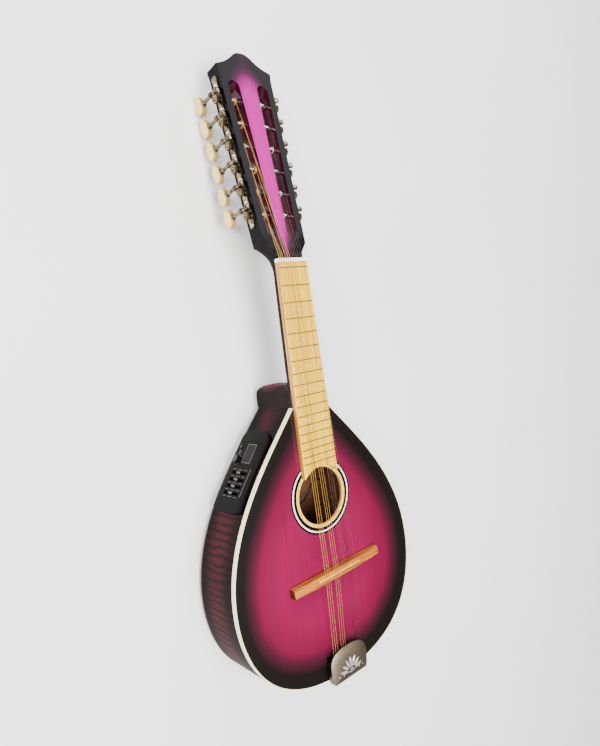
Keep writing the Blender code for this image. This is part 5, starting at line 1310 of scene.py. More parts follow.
def back():
    """The flat back, lacquered like the sides, with its edge rounded over."""
    outline = [Vector((x, (y - BODY_FRONT_Y) / math.cos(BACK_SLOPE))) for x, y in closed_outline(0.0)]
    centre = Vector((0, (WIDEST_Y - BODY_FRONT_Y) / math.cos(BACK_SLOPE)))
    radius = 0.0012
    rings = []
    for point in outline:
        way = (point - centre).normalized()
        reach = (point - centre).length
        section = [(reach * share, 0.0) for share in burst_shares(0.995, 20)]
        for turn in steps_to(math.pi / 2, 5)[1:]:
            section.append((reach - radius * (1 - math.sin(turn)), radius * (1 - math.cos(turn))))
        section += [(reach, BACK_THICKNESS), (0.0, BACK_THICKNESS)]
        rings.append([(centre.x + way.x * r, centre.y + way.y * r, z) for r, z in section])
    mesh = tidied(lofted(rings, closed_run=True, closed_ring=False), BACK)
    store_burst(mesh)
    inner = [f.index for f in mesh.polygons if f.normal.z > 0.9]
    plate = piece("maroon_back", mesh, [BACK_LACQUER, INSIDE], replaces=["back_plate"])
    second_finish(plate, inner)


# Neck and head

def smooth_rings(rings, steps):
    """More rings between the given ones, each point on a smooth curve through its own places."""
    lines = [smooth_through([ring[i] for ring in rings], steps) for i in range(len(rings[0]))]
    return [[line[k] for line in lines] for k in range(len(lines[0]))]


def neck():
    """Shaft, flare and heel as one piece of wood, with a smooth fillet where the shaft meets the heel."""
    shaft_end = BODY_FRONT_Y + GAP + HEEL_DROP
    rings = []
    for y in (shaft_end, shaft_end / 2, -0.030, -0.014, -0.003):
        share = y / shaft_end
        depth = NECK_DEPTH_AT_NUT + (NECK_DEPTH_AT_HEEL - NECK_DEPTH_AT_NUT) * share
        rings.append([(x, y, z) for x, z in oval(board_half(y), depth, NECK_ROUNDNESS, NECK_STEPS)])
    for along, widening, depth, roundness in NECK_FLARE:
        half = NUT_HALF + (HEAD_FOOT_HALF - NUT_HALF) * widening
        section = oval(half, HEAD_THICKNESS * depth, roundness, NECK_STEPS)
        rings.append([HEAD @ Vector((x, along * HEAD_FOOT, z)) for x, z in section])
    shaft = lofted(smooth_rings(rings, 6))
    heel_back = BODY_FRONT_Y + SEAM
    base = heel_back + HEEL_STRAIGHT
    plan = [(HEEL_HALF, heel_back), (HEEL_HALF, heel_back + HEEL_STRAIGHT / 2)]
    power = 2 / HEEL_ROUNDNESS
    for turn in steps_to(math.pi, 32):
        across, ahead = bent(math.cos(turn), power), bent(math.sin(turn), power)
        plan.append((HEEL_HALF * across, base + HEEL_NOSE * ahead))
    plan += [(-HEEL_HALF, heel_back + HEEL_STRAIGHT / 2), (-HEEL_HALF, heel_back)]
    heel = softened(prism([plan], -FRONT_DEPTH, -HEEL_DROP), HEEL_EDGE, 4, 50)
    tip, under = base + HEEL_NOSE, -NECK_DEPTH_AT_HEEL
    corner = [(tip - 0.004, under + 0.004), (tip + HEEL_FILLET, under + 0.004)]
    for turn in steps_to(math.pi / 2, 12):
        corner.append((tip + HEEL_FILLET * (1 - math.sin(turn)), under - HEEL_FILLET * (1 - math.cos(turn))))
    corner.append((tip - 0.004, under - HEEL_FILLET))
    fillet = prism([corner], -HEEL_FILLET, HEEL_FILLET, ALONG_X)
    obj = bpy.data.objects.new("wood", joined([(shaft, NECK), (heel, NECK), (fillet, NECK)]))
    remesh = obj.modifiers.new("one piece", "REMESH")
    remesh.mode = "VOXEL"
    remesh.voxel_size = NECK_VOXEL
    remesh.use_smooth_shade = True
    mesh = evaluated_mesh(obj)
    obj = bpy.data.objects.new("fillet", mesh)
    overall = obj.vertex_groups.new(name="all")
    near = obj.vertex_groups.new(name="joint")
    for vertex in mesh.vertices:
        _, y, z = vertex.co
        away = math.hypot(y - tip, z - under)
        weight = max(0.0, 1 - away / (2 * HEEL_FILLET))
        if weight > 0 and z < -HEEL_DROP * 6:
            near.add([vertex.index], min(1.0, weight * 2), "REPLACE")
        inner = z < -0.0012 and y > heel_back + 0.0015 and y < 0.022
        overall.add([vertex.index], 1.0 if inner else 0.0, "REPLACE")
    for group, factor, rounds in (("joint", 0.6, 140), ("all", 0.5, 5)):
        smooth = obj.modifiers.new(group, "SMOOTH")
        smooth.vertex_group = group
        smooth.factor = factor
        smooth.iterations = rounds
    mesh = evaluated_mesh(obj)
    mesh.materials.clear()
    mesh.materials.append(NECK)
    for face in mesh.polygons:
        face.material_index = 0
    repainted(mesh, NECK, HEAD_FACE, lambda face: face.center.y > NUT_Y and face.normal.z > 0.6)
    piece("lacquered_neck", mesh, None, replaces=["neck"], angle=50)


def fingerboard():
    """The board with its concave end, pale grain on top, and side faces in a darker copy of the wood as
    painted shade.
    """
    tip_y = HOLE_Y + math.sqrt(BOARD_END_RADIUS ** 2 - BOARD_END_HALF ** 2)
    swing = math.asin(BOARD_END_HALF / BOARD_END_RADIUS)
    arc = []
    for share in steps_to(2, 32):
        turn = swing * (1 - share)
        arc.append((BOARD_END_RADIUS * math.sin(turn), HOLE_Y + BOARD_END_RADIUS * math.cos(turn)))
    head, tip = board_half(BOARD_HEAD_Y), board_half(tip_y)
    outline = [(head, BOARD_HEAD_Y), (tip, tip_y)] + arc + [(-tip, tip_y), (-head, BOARD_HEAD_Y)]
    mesh = softened(prism([outline], GAP / 2, BOARD_TOP), 0.0004, 3, 50)
    # Painted shade: the side faces take the darker wood.
    sides = [f.index for f in mesh.polygons if abs(f.normal.z) < 0.6]
    board = piece("maple_fingerboard", mesh, [BOARD, SHADED_BOARD_EDGE], replaces=["fingerboard"])
    second_finish(board, sides)


def frets():
    """Eighteen crowned wires, the zero fret among them."""
    crown = [(-FRET_WIDTH / 2, -FRET_HEIGHT / 2)]
    for turn in steps_to(math.pi, 8):
        crown.append((-FRET_WIDTH / 2 * math.cos(turn), FRET_HEIGHT * math.sin(turn)))
    crown.append((FRET_WIDTH / 2, -FRET_HEIGHT / 2))
    guide = placed("fret", prism([crown], -1.0, 1.0, ALONG_X))
    values = {"Frets": FRET_COUNT + 1, "Scale Length": SCALE_LENGTH, "Nut Half": NUT_HALF,
              "Flare": BOARD_FLARE, "Height": BOARD_TOP, "Wire": guide, "Finish": FRET_METAL}
    mesh = grown(FRET_TREE, values)
    bpy.data.objects.remove(guide, do_unlink=True)
    piece("frets", mesh, None, angle=50)


def pearl_dots():
    """Small shell dots between the frets, two of them at the octave."""
    spots = [(0.0, (fret_y(n) + fret_y(n - 1)) / 2) for n in SINGLE_DOTS]
    middle = (fret_y(DOUBLE_DOT) + fret_y(DOUBLE_DOT - 1)) / 2
    spots += [(side * board_half(middle) / 2, middle) for side in (-1, 1)]
    top = BOARD_TOP + SEAM
    profile = [(0.0, top), (DOT_RADIUS * 0.9, top), (DOT_RADIUS, BOARD_TOP - GAP), (0.0, BOARD_TOP - GAP)]
    dots = [(turned(profile, 24, Matrix.Translation((x, y, 0))), PEARL) for x, y in spots]
    piece("pearl_dots", joined(dots), None)


def headstock():
    """The slotted head: burst face, black rim, maroon slot walls, rounded edges."""
    crest = [(x, y) for x, y in (HEAD_CORNER,) + CREST_HALF]
    crest += [(-x, y) for x, y in reversed(crest)]
    curve = [(p[0], min(p[1], CREST_HALF[-1][1])) for p in smooth_through(crest, 5)]
    below = HEAD_FOOT - 0.003
    foot = HEAD_FOOT_HALF - 0.003 * math.tan(SIDE_ANGLE)
    outline = [(foot, below), (HEAD_TOP_HALF, HEAD_SIDE_END)] + curve
    outline += [(-HEAD_TOP_HALF, HEAD_SIDE_END), (-foot, below)]
    direction = Vector(SLOT_TOP) - Vector(SLOT_FOOT)
    lean = math.atan2(direction.y, direction.x)
    slot = []
    for centre, start in ((SLOT_TOP, lean - math.pi / 2), (SLOT_FOOT, lean + math.pi / 2)):
        for turn in [start + step for step in steps_to(math.pi, 24)]:
            x, y = SLOT_RADIUS * math.cos(turn), SLOT_RADIUS * math.sin(turn)
            slot.append((centre[0] + x, centre[1] + y))
    other = [(-x, y) for x, y in reversed(slot)]
    board = softened(prism([outline, slot, other], -HEAD_THICKNESS, 0.0), HEAD_EDGE, 3, 50)
    bores = [block((-0.05, below - 0.01, -0.05), (0.05, HEAD_FOOT, 0.05))]
    for axes, side, _ in side_frames():
        for along in roller_places():
            spot = axes @ Matrix.Translation((along, -side * ROLLER_DEPTH, 0))
            bores.append(drill(ROLLER_RADIUS + GAP, 0.003, -ROLLER_LENGTH - GAP, 24, spot))
    mesh = cut(board, bores)
    kinds = []
    for face in mesh.polygons:
        x, y, z = face.center
        share = (y - SLOT_FOOT[1]) / (SLOT_TOP[1] - SLOT_FOOT[1])
        middle = SLOT_FOOT[0] + (SLOT_TOP[0] - SLOT_FOOT[0]) * min(1.0, max(0.0, share))
        centre_y = min(SLOT_TOP[1], max(SLOT_FOOT[1], y))
        in_slot = math.hypot(abs(x) - middle, y - centre_y) < SLOT_RADIUS + 0.0004
        upright = face.normal.z > 0.35 and z > -HEAD_EDGE * 1.5
        kinds.append(0 if upright else 2 if in_slot else 1)
    head = piece("slotted_headstock", mesh, [HEAD_FACE, HEAD_RIM, SLOT_WALL], replaces=["headstock"],
                 axes=HEAD, angle=12)
    for face, kind in zip(head.data.polygons, kinds):
        face.material_index = kind


# Tuning machines

def plate_outline(low, high, middle):
    """A side plate's outline: waisted between the machines, with round ends."""
    reach = PLATE_WIDTH / 2
    first = roller_places()[0] + WORM_OFFSET / 2
    count = 220
    upper = []
    for i in range(count + 1):
        x = low + (high - low) * i / count
        wave = 0.5 + 0.5 * math.cos(2 * math.pi * (x - first) / TUNER_PITCH)
        width = reach * (0.66 + 0.34 * wave ** 0.6)
        end = min(1.0, (min(x - low, high - x) + 0.00001) / (reach * 0.75))
        upper.append((x, width * math.sqrt(max(0.0, 1 - (1 - end) ** 2))))
    return [(x, middle + y) for x, y in upper] + [(x, middle - y) for x, y in reversed(upper)]


def tuner_plates():
    """The long plates with their scalloped edges, ears for the worms and slotted screws."""
    for axes, side, name in side_frames():
        middle = -side * PLATE_DEPTH
        outline = plate_outline(PLATE_START - HEAD_FOOT, PLATE_END - HEAD_FOOT, middle)
        sheet = softened(prism([outline], SEAM, GAP + PLATE_THICKNESS), 0.0003, 2, 50)
        parts = [(sheet, NICKEL)]
        edge = WORM_LENGTH / 2 + GAP
        for x in roller_places():
            worm_x = x + WORM_OFFSET
            foot = PLATE_THICKNESS / 2
            tab = [(worm_x - EAR_HALF_WIDTH, foot)]
            for turn in reversed(steps_to(math.pi, 12)):
                x_away, rise = EAR_HALF_WIDTH * math.cos(turn), EAR_HALF_WIDTH * math.sin(turn)
                tab.append((worm_x + x_away, WORM_STANDOFF + rise))
            tab.append((worm_x + EAR_HALF_WIDTH, foot))
            for away in (-1, 1):
                near = -side * ROLLER_DEPTH + away * edge
                far = near + away * EAR_THICKNESS
                upright = Matrix(((1, 0, 0, 0), (0, 0, 1, 0), (0, 1, 0, 0), (0, 0, 0, 1)))
                ear = tidied(prism([tab], min(near, far), max(near, far), upright))
                parts.append((softened(ear, 0.0003, 2, 50), NICKEL))
            rim, lip = GAP + PLATE_THICKNESS * 1.5, GAP + PLATE_THICKNESS * 1.7
            profile = [(COLLAR_OUTER, rim), (COLLAR_OUTER, GAP), (COLLAR_INNER, GAP), (COLLAR_INNER, lip),
                       (COLLAR_OUTER, rim)]
            parts.append((turned(profile, 32, Matrix.Translation((x, -side * ROLLER_DEPTH, 0))), NICKEL))
        first = roller_places()[0] + PLATE_SCREW_OFFSET
        face = GAP + PLATE_THICKNESS
        spots = [(first + TUNER_PITCH * (i - 1), middle, face) for i in range(TUNERS_A_SIDE + 1)]
        parts.append((screws(spots, STEEL, 5 + side), STEEL))
        piece(f"tuner_strip_{name}", joined(parts), None, replaces=[f"tuner_plate_{name}"],
              axes=HEAD @ axes)


def gear_mesh():
    """A worm wheel with rounded teeth and softened edges."""
    outline = []
    for turn in circle_turns(GEAR_TEETH * 6):
        rise = 0.5 + 0.5 * math.cos(turn * GEAR_TEETH)
        radius = GEAR_ROOT_RADIUS + (GEAR_TIP_RADIUS - GEAR_ROOT_RADIUS) * rise ** 0.8
        outline.append((radius * math.cos(turn), radius * math.sin(turn)))
    low = WORM_STANDOFF - GEAR_WIDTH / 2
    return softened(prism([outline], low, low + GEAR_WIDTH), 0.0003, 2, 60)


def roller_mesh():
    """A polished roller with its neck and the screw cap on the wheel."""
    high = WORM_STANDOFF + GEAR_WIDTH / 2 + ROLLER_CAP_LENGTH
    edge = 0.0003
    profile = [(0.0, high), (ROLLER_NECK_RADIUS - edge, high), (ROLLER_NECK_RADIUS, high - edge),
               (ROLLER_NECK_RADIUS, -GAP), (ROLLER_RADIUS - edge, -GAP), (ROLLER_RADIUS, -GAP - edge),
               (ROLLER_RADIUS, edge - ROLLER_LENGTH), (ROLLER_RADIUS - edge, -ROLLER_LENGTH),
               (0.0, -ROLLER_LENGTH)]
    slot = block((-0.003, -0.0003, high - 0.0005), (0.003, 0.0003, high + 0.001))
    return cut(turned(profile, 32), [slot])


def button_mesh():
    """The oval button: two flat oval faces with rounded edges."""
    radius = BUTTON_ROUNDING
    half = BUTTON_THICKNESS / 2
    quarter = [(half - radius + radius * math.sin(turn), radius * (1 - math.cos(turn)))
               for turn in steps_to(math.pi / 2, 6)]
    stations = [(-x, inset) for x, inset in reversed(quarter)] + quarter
    rings = []
    for x, inset in stations:
        long, tall = BUTTON_HALF_LENGTH - inset, BUTTON_HALF_HEIGHT - inset
        rings.append([(x, long * math.cos(turn), tall * math.sin(turn)) for turn in circle_turns(48)])
    return tidied(lofted(rings), Matrix.Translation((0, 0, -KEY_REACH)))


def key_mesh():
    """Worm, shaft with its collars and oval button, hanging down from the head's face; the button's rim is a
    darker ivory, painted shade.
    """
    high = -ROLLER_DEPTH + WORM_LENGTH / 2
    low = -ROLLER_DEPTH - WORM_LENGTH / 2
    root = WORM_RADIUS - 0.0006
    collar = low - EAR_THICKNESS - 2 * GAP
    seat = -KEY_REACH + BUTTON_HALF_HEIGHT
    shaft = KEY_SHAFT_RADIUS
    top = high + EAR_THICKNESS
    upper = [(shaft * swell, collar - down) for swell, down in KEY_UPPER_COLLAR]
    lower = [(shaft * swell, seat + rise) for swell, rise in KEY_LOWER_COLLAR]
    profile = [(0.0, top), (KEY_PIVOT_RADIUS, top), (KEY_PIVOT_RADIUS, high), (root, high), (root, low),
               (shaft, low)]
    profile += upper + [(shaft * 1.05, (collar + seat) / 2)] + lower + [(0.0, lower[-1][1])]
    length = WORM_LENGTH - 0.0012
    thread = coil(float(WORM_THREAD_TURNS), root + SEAM, WORM_THREAD_WIRE, length, GEAR_METAL, 6)
    thread.transform(Matrix.Translation((0, 0, -ROLLER_DEPTH)))
    mesh = joined([(turned(profile, 24), NICKEL), (thread, GEAR_METAL), (button_mesh(), IVORY)])
    # Painted shade: the button's rim faces take the darker ivory.
    return repainted(mesh, IVORY, SHADED_IVORY_EDGE, lambda face: abs(face.normal.x) < 0.5)


def tuners():
    """Rollers with their wheels and windings, and keys, each on its own body."""
    gear, roller, key = gear_mesh(), roller_mesh(), key_mesh()
    wound = {}
    for index, place in enumerate(string_places()):
        side, number, x = roller_of(index)
        wound[side, number] = (x, place["radius"], WOUND if place["course"] < COURSES / 2 else PLAIN)
    for axes, side, name in side_frames():
        for i, along in enumerate(roller_places()):
            spot = axes @ Matrix.Translation((along, -side * ROLLER_DEPTH, 0))
            x, radius, material = wound[side, i]
            height = 2 * radius * COIL_TURNS
            # Painted highlight: the plain strings' windings take the brighter wire.
            shine = WOUND if material is WOUND else HIGHLIT_WIRE
            winding = coil(COIL_TURNS, ROLLER_RADIUS + radius * 0.9, radius, height, shine)
            winding.transform(Matrix.Translation((0, 0, (x - spot.translation.x) / spot[0][2])))
            mesh = joined([(roller.copy(), STEEL), (gear.copy(), GEAR_METAL), (winding, shine)])
            repainted(mesh, STEEL, NICKEL, lambda face: face.center.z > 0)
            body = f"roller_{name}_{i + 1}"
            piece(f"wound_{body}", mesh, None, body, [body], HEAD @ spot)
            spot = axes @ Matrix.Translation((along + WORM_OFFSET, 0, WORM_STANDOFF))
            turn = Matrix.Rotation(-side * SIDE_ANGLE, 4, "Z")
            body = f"key_{name}_{i + 1}"
            piece(f"oval_{body}", key.copy(), None, body, [body],
                  HEAD @ Matrix.Translation(spot.translation) @ turn)


# Strings, bridge and tailpiece

def saddle_y(x):
    """Y of the saddle's crown at a given X."""
    return SADDLE_Y + (x - SADDLE_X) * math.tan(BRIDGE_TURN)


def string_route(index, place):
    """A string from its hook, over the saddle and the zero fret, through the nut and on to its roller."""
    radius = place["radius"]
    _, number, roller_x = roller_of(index)
    hook = Vector((place["hook"], HOOK_Y + 2 * HOOK_RADIUS + 2 * GAP, STRING_HOOK_HEIGHT))
    saddle = Vector((place["saddle"], saddle_y(place["saddle"]), SADDLE_TOP + SEAM + radius))
    zero = Vector((place["nut"], 0.0, FRET_TOP + SEAM + radius))
    nut = Vector((place["nut"], NUT_Y + NUT_LENGTH * 0.6, FRET_TOP + GAP + radius))
    nut_end = Vector((place["nut"], NUT_Y + NUT_LENGTH, FRET_TOP + GAP / 2 + radius))
    along = TUNER_START + TUNER_PITCH * number
    reach = ROLLER_RADIUS + radius * 1.1
    lap = []
    for turn in (-0.18, 0.1, 0.4, 0.7, 1.0, 1.3):
        point = (roller_x, along + reach * math.sin(turn), -ROLLER_DEPTH + reach * math.cos(turn))
        lap.append(HEAD @ Vector(point))
    behind = saddle - (saddle - hook).normalized() * SADDLE_SOFTENING
    ahead = saddle + (zero - saddle).normalized() * SADDLE_SOFTENING
    after_length = [hook.lerp(saddle, share) for share in (0.25, 0.5, 0.75)]
    speaking_length = [saddle.lerp(zero, share) for share in (0.2, 0.4, 0.6, 0.8)]
    return [hook, *after_length, behind, saddle, ahead, *speaking_length, zero, nut, nut_end] + lap


def strings():
    """Four courses of three strings, with the loop ends that sit on the tailpiece's hooks."""
    routes = [[] for _ in range(COURSES)]
    loops = [[] for _ in range(COURSES)]
    for index, place in enumerate(string_places()):
        routes[place["course"]].append(string_route(index, place))
        ring = HOOK_RADIUS + 0.0006
        loop = []
        for turn in steps_to(2 * math.pi, 24):
            x, y = place["hook"] + ring * math.sin(turn), HOOK_Y + ring * math.cos(turn)
            loop.append((x, y, STRING_HOOK_HEIGHT))
        loops[place["course"]].append(loop)
    for course in range(COURSES):
        material = WOUND if course < COURSES / 2 else PLAIN
        radius = STRING_RADII[course]
        drawn = wires(routes[course], radius * STRING_SLIMNESS, material)
        ends = wires(loops[course], min(radius, 0.0003), material, 6)
        name = f"strings_{course + 1}"
        group = placed(name, drawn)
        extra = placed(name + "_ends", ends)
        for obj in (group, extra):
            obj.data.transform(INSTRUMENT)
            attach(obj, BODY)
        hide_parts(f"string_course_{course + 1}")


def bridge():
    """The floating bridge: a bar with chamfered wings falling to its ends, and the saddle on it."""
    half = BRIDGE_LENGTH / 2
    shoulder = half - BRIDGE_WING
    wide = BRIDGE_WIDTH / 2
    rings = []
    stations = [-half + away for away in steps_to(BRIDGE_WING, 10)]
    stations += [shoulder * (share - 1) for share in steps_to(2, 16)[1:]]
    stations += [shoulder + away for away in steps_to(BRIDGE_WING, 10)[1:]]
    for x in stations:
        wing = max(0.0, (abs(x) - shoulder) / BRIDGE_WING)
        height = BRIDGE_TOP + (BRIDGE_END_HEIGHT - BRIDGE_TOP) * wing
        chamfer = 0.0007 + 0.0007 * wing
        soft = 0.0004
        section = [(-wide, GAP + soft), (soft - wide, GAP), (wide - soft, GAP), (wide, GAP + soft),
                   (wide, height - chamfer * 1.2), (wide - chamfer, height), (chamfer - wide, height),
                   (-wide, height - chamfer * 1.2)]
        rings.append([(x, y, z) for y, z in section])
    place = Matrix.Translation((BRIDGE_X, BRIDGE_Y, 0)) @ Matrix.Rotation(BRIDGE_TURN, 4, "Z")
    mesh = joined([(softened(lofted(rings), 0.0003, 2, 25), BRIDGE_WOOD)])
    repainted(mesh, BRIDGE_WOOD, END_GRAIN, lambda face: abs(face.normal.x) > 0.8)
    piece("wooden_bridge", mesh, None, replaces=["bridge"], axes=place, angle=28)
    width = SADDLE_WIDTH / 2
    floor = SADDLE_TOP - SADDLE_DEPTH
    crown = [(-width, floor), (width, floor)]
    for turn in steps_to(math.pi, 8):
        crown.append((width * math.cos(turn), SADDLE_TOP - width * (1 - math.sin(turn))))
    bar = prism([crown], -SADDLE_LENGTH / 2, SADDLE_LENGTH / 2, ALONG_X)
    place = Matrix.Translation((SADDLE_X, SADDLE_Y, 0)) @ Matrix.Rotation(BRIDGE_TURN, 4, "Z")
    bar = softened(bar, 0.0003, 2, 60)
    piece("bone_saddle", bar, [SADDLE_BONE], replaces=["saddle"], axes=place)


def cover_rim(turn):
    """A point of the cover's rim in plan: round in front, straight sides and rear."""
    across = bent(math.cos(turn), 2 / COVER_ROUNDNESS)
    if math.sin(turn) >= 0:
        reach = (COVER_FRONT_Y - COVER_SHOULDER_Y) * math.sin(turn) ** (2 / COVER_ROUNDNESS)
    else:
        across = bent(math.cos(turn), 0.25)
        reach = (COVER_REAR_Y - COVER_SHOULDER_Y) * min(1.0, 1.25 * abs(math.sin(turn)))
    return TAILPIECE_X + COVER_HALF * across, COVER_SHOULDER_Y + reach


def raised_by(distance):
    """Height share of a point by its distance inside an ornament's edge."""
    return min(1.0, max(0.0, distance / ORNAMENT_SLOPE))


def relief_at(x, y):
    """How much a point of the cover is raised: a fan of seven leaves over a row of beads."""
    x -= TAILPIECE_X
    y -= COVER_SHOULDER_Y + ORNAMENT_FOOT
    raised = raised_by(BEAD_RADIUS * 1.3 - math.hypot(x, y - 2.2 * BEAD_RADIUS))
    for i in range(LEAF_COUNT):
        lean = LEAF_SPREAD * (i - (LEAF_COUNT - 1) / 2)
        along = x * math.sin(lean) + y * math.cos(lean)
        across = x * math.cos(lean) - y * math.sin(lean)
        share = (along - LEAF_START) / LEAF_LENGTH
        if 0 < share < 1:
            raised = max(raised, raised_by(LEAF_HALF * math.sin(math.pi * share ** 0.75) - abs(across)))
    for i in range(BEAD_COUNT):
        spot = BEAD_PITCH * (i - (BEAD_COUNT - 1) / 2)
        raised = max(raised, raised_by(BEAD_RADIUS - math.hypot(x - spot, y)))
    return raised


def tailpiece_cover():
    """The stamped cover: a low dome with a rolled rim and raised ornament, open in front; its low walls are
    a darker metal, painted shade.
    """
    crown_z = COVER_RIM_HEIGHT + COVER_CROWN
    centre = (TAILPIECE_X, COVER_SHOULDER_Y)
    rings, marks = [], []
    for turn in circle_turns(COVER_STEPS):
        x, y = cover_rim(turn)
        ring, mark = [], []
        for share in steps_to(1, COVER_ROWS):
            px, py = centre[0] + (x - centre[0]) * share, centre[1] + (y - centre[1]) * share
            raised = relief_at(px, py)
            ring.append((px, py, crown_z - COVER_CROWN * share ** 3.2 - ORNAMENT_RELIEF * (1 - raised)))
            mark.append(raised)
        if math.sin(turn) > COVER_OPEN_SINE:
            low = COVER_RIM_HEIGHT - 2 * COVER_SHEET
        elif abs(x - centre[0]) > COVER_HALF - 0.0014:
            low = GAP * 2
        else:
            low = GAP + TAILPIECE_SHEET + GAP
        top = COVER_RIM_HEIGHT - ORNAMENT_RELIEF
        for fall in steps_to(low - top, 6)[1:]:
            ring.append((x, y, top + fall))
            mark.append(0.0)
        rings.append(ring)
        marks.append(mark)
    mesh = lofted(rings, closed_run=True, closed_ring=False)
    store(mesh, "relief", [value for mark in marks for value in mark])
    obj = bpy.data.objects.new("cover", tidied(mesh))
    sheet = obj.modifiers.new("sheet", "SOLIDIFY")
    sheet.thickness = COVER_SHEET
    sheet.offset = -1
    mesh = joined([(evaluated_mesh(obj), COVER)])
    # Painted shade: the cover's low walls take the darker metal.
    low = COVER_RIM_HEIGHT * 0.9
    repainted(mesh, COVER, SHADED_SKIRT, lambda face: abs(face.normal.z) < 0.5 and face.center.z < low)
    piece("stamped_cover", mesh, None, "tailpiece_cover", ["tailpiece_cover"], angle=40)


# Preamp, wiring and jack

def panel_outline(start, end):
    """The preamp's face between two places along it: a rounded nose in front, soft corners behind."""
    half = PANEL_HEIGHT / 2
    upper = []
    for turn in steps_to(math.pi / 2, 24):
        upper.append((PANEL_NOSE * (1 - math.cos(turn)), half * math.sin(turn) ** 0.8))
    for turn in steps_to(math.pi / 2, 8):
        drop = PANEL_CORNER * (1 - math.cos(turn))
        upper.append((PANEL_LENGTH - PANEL_CORNER * (1 - math.sin(turn)), half - drop))
    for i in range(1, 9):
        height = (half - PANEL_CORNER) * (1 - i / 8)
        upper.append((PANEL_LENGTH + PANEL_BULGE * (1 - (height / half) ** 2), height))
    loop = upper + [(x, -y) for x, y in reversed(upper[1:-1])]
    kept = []
    for (x0, y0), (x1, y1) in zip(loop, loop[1:] + loop[:1]):
        for limit in sorted((start, end), key=lambda v: abs(v - x0)):
            if (x0 - limit) * (x1 - limit) < 0:
                share = (limit - x0) / (x1 - x0)
                kept.append((limit, y0 + (y1 - y0) * share))
        if start < x1 < end:
            kept.append((x1, y1))
    unique = [p for i, p in enumerate(kept) if math.dist(p, kept[i - 1]) > GAP / 10]
    return [(x, PANEL_CENTRE_Z + y) for x, y in unique]


def rectangle(x0, x1, y0, y1):
    """The corners of a rectangle."""
    return [(x0, y0), (x1, y0), (x1, y1), (x0, y1)]


def on_wall(outline):
    """A panel's solid from deep in the wall to its rounded face, with the body's form cut away."""
    path = whole_path(-SEAM)
    body = prism([path], back_plane_z(TAIL_Y) - 0.01, BOARD_TOP)
    body.transform(WALL.inverted())
    solid = softened(prism([outline], -2 * PANEL_FACE, PANEL_FACE), PANEL_EDGE, 4, 50)
    return cut(solid, [body])


def preamp():
    """Face panel with its window, slots and printed marks, and the battery's door."""
    face = on_wall(panel_outline(DOOR_LENGTH + GAP, 2 * PANEL_LENGTH))
    half = SLIDER_SLOT_WIDTH / 2
    slider_x = [SLIDER_START + SLIDER_PITCH * i for i in range(SLIDER_COUNT)]
    low, high = SLIDER_Z - SLIDER_SLOT_LENGTH / 2, SLIDER_Z + SLIDER_SLOT_LENGTH / 2
    tools = [block((x - half, low, -0.02), (x + half, high, 0.02)) for x in slider_x]
    window = rectangle(DISPLAY_START, DISPLAY_START + DISPLAY_LENGTH, DISPLAY_Z - DISPLAY_HEIGHT / 2,
                       DISPLAY_Z + DISPLAY_HEIGHT / 2)
    (x0, y0), (x1, y1) = window[0], window[2]
    tools.append(block((x0, y0, PANEL_FACE - DISPLAY_THICKNESS), (x1, y1, 0.02)))
    bores = ((KNOB_X, KNOB_Z, KNOB_SHAFT_RADIUS), (TUNER_BUTTON_X, TUNER_BUTTON_Z, TUNER_BUTTON_RADIUS))
    for x, z, radius in bores:
        tools.append(drill(radius + GAP, 0.02, -0.02, 32, Matrix.Translation((x, z, 0))))
    face = cut(face, tools)
    piece("preamp_face", face, [MATTE_BLACK], replaces=["preamp_panel"], axes=WALL)
    door = on_wall(panel_outline(-PANEL_LENGTH, DOOR_LENGTH))
    piece("battery_hatch", door, [MATTE_BLACK], "battery_door", ["battery_door"], WALL)
    glass = block((x0 + SEAM, y0 + SEAM, PANEL_FACE - DISPLAY_THICKNESS),
                  (x1 - SEAM, y1 - SEAM, PANEL_FACE - 0.0003))
    piece("display_glass", glass, [DISPLAY], axes=WALL)
    printed_marks(slider_x, low, high, (x0, y0, x1, y1))


def printed_marks(slider_x, low, high, window):
    """Pale printing: the display's frame, the slots' ticks, the long scale and the knob's dots."""
    face = PANEL_FACE + SEAM / 2
    bars = []

    def bar(x0, x1, y0, y1):
        bars.append((block((x0, y0, face - SEAM), (x1, y1, face + PRINT_THICKNESS)), PRINT))

    x0, y0, x1, y1 = window
    line = 0.0005
    bar(x0 - line, x1 + line, y0 - line, y0)
    bar(x0 - line, x1 + line, y1, y1 + line)
    bar(x0 - line, x0, y0, y1)
    bar(x1, x1 + line, y0, y1)
    thin = 0.00022
    edges = [slider_x[0] - SLIDER_PITCH / 2] + [x + SLIDER_PITCH / 2 for x in slider_x]
    middle = (low + high) / 2
    for x in edges:
        for start, end in ((low, low + 0.006), (middle - 0.004, middle + 0.004), (high - 0.006, high)):
            bar(x - thin, x + thin, start, end)
    scale_z = high + 0.0045
    bar(edges[0] - 0.0020, edges[-1] - 0.0010, scale_z, scale_z + 0.0006)
    for turn in [math.radians(-225 + step) for step in steps_to(270, 8)]:
        x, y = KNOB_X + KNOB_DOTS_RADIUS * math.cos(turn), KNOB_Z + KNOB_DOTS_RADIUS * math.sin(turn)
        bar(x - 0.0004, x + 0.0004, y - 0.0004, y + 0.0004)
    bar(TUNER_BUTTON_X + 0.0040, TUNER_BUTTON_X + 0.0085, TUNER_BUTTON_Z - 0.0005, TUNER_BUTTON_Z + 0.0005)
    bar(TUNER_BUTTON_X + 0.0058, TUNER_BUTTON_X + 0.0064, TUNER_BUTTON_Z + 0.0018, TUNER_BUTTON_Z + 0.0030)
    piece("printed_marks", joined(bars), None, axes=WALL)


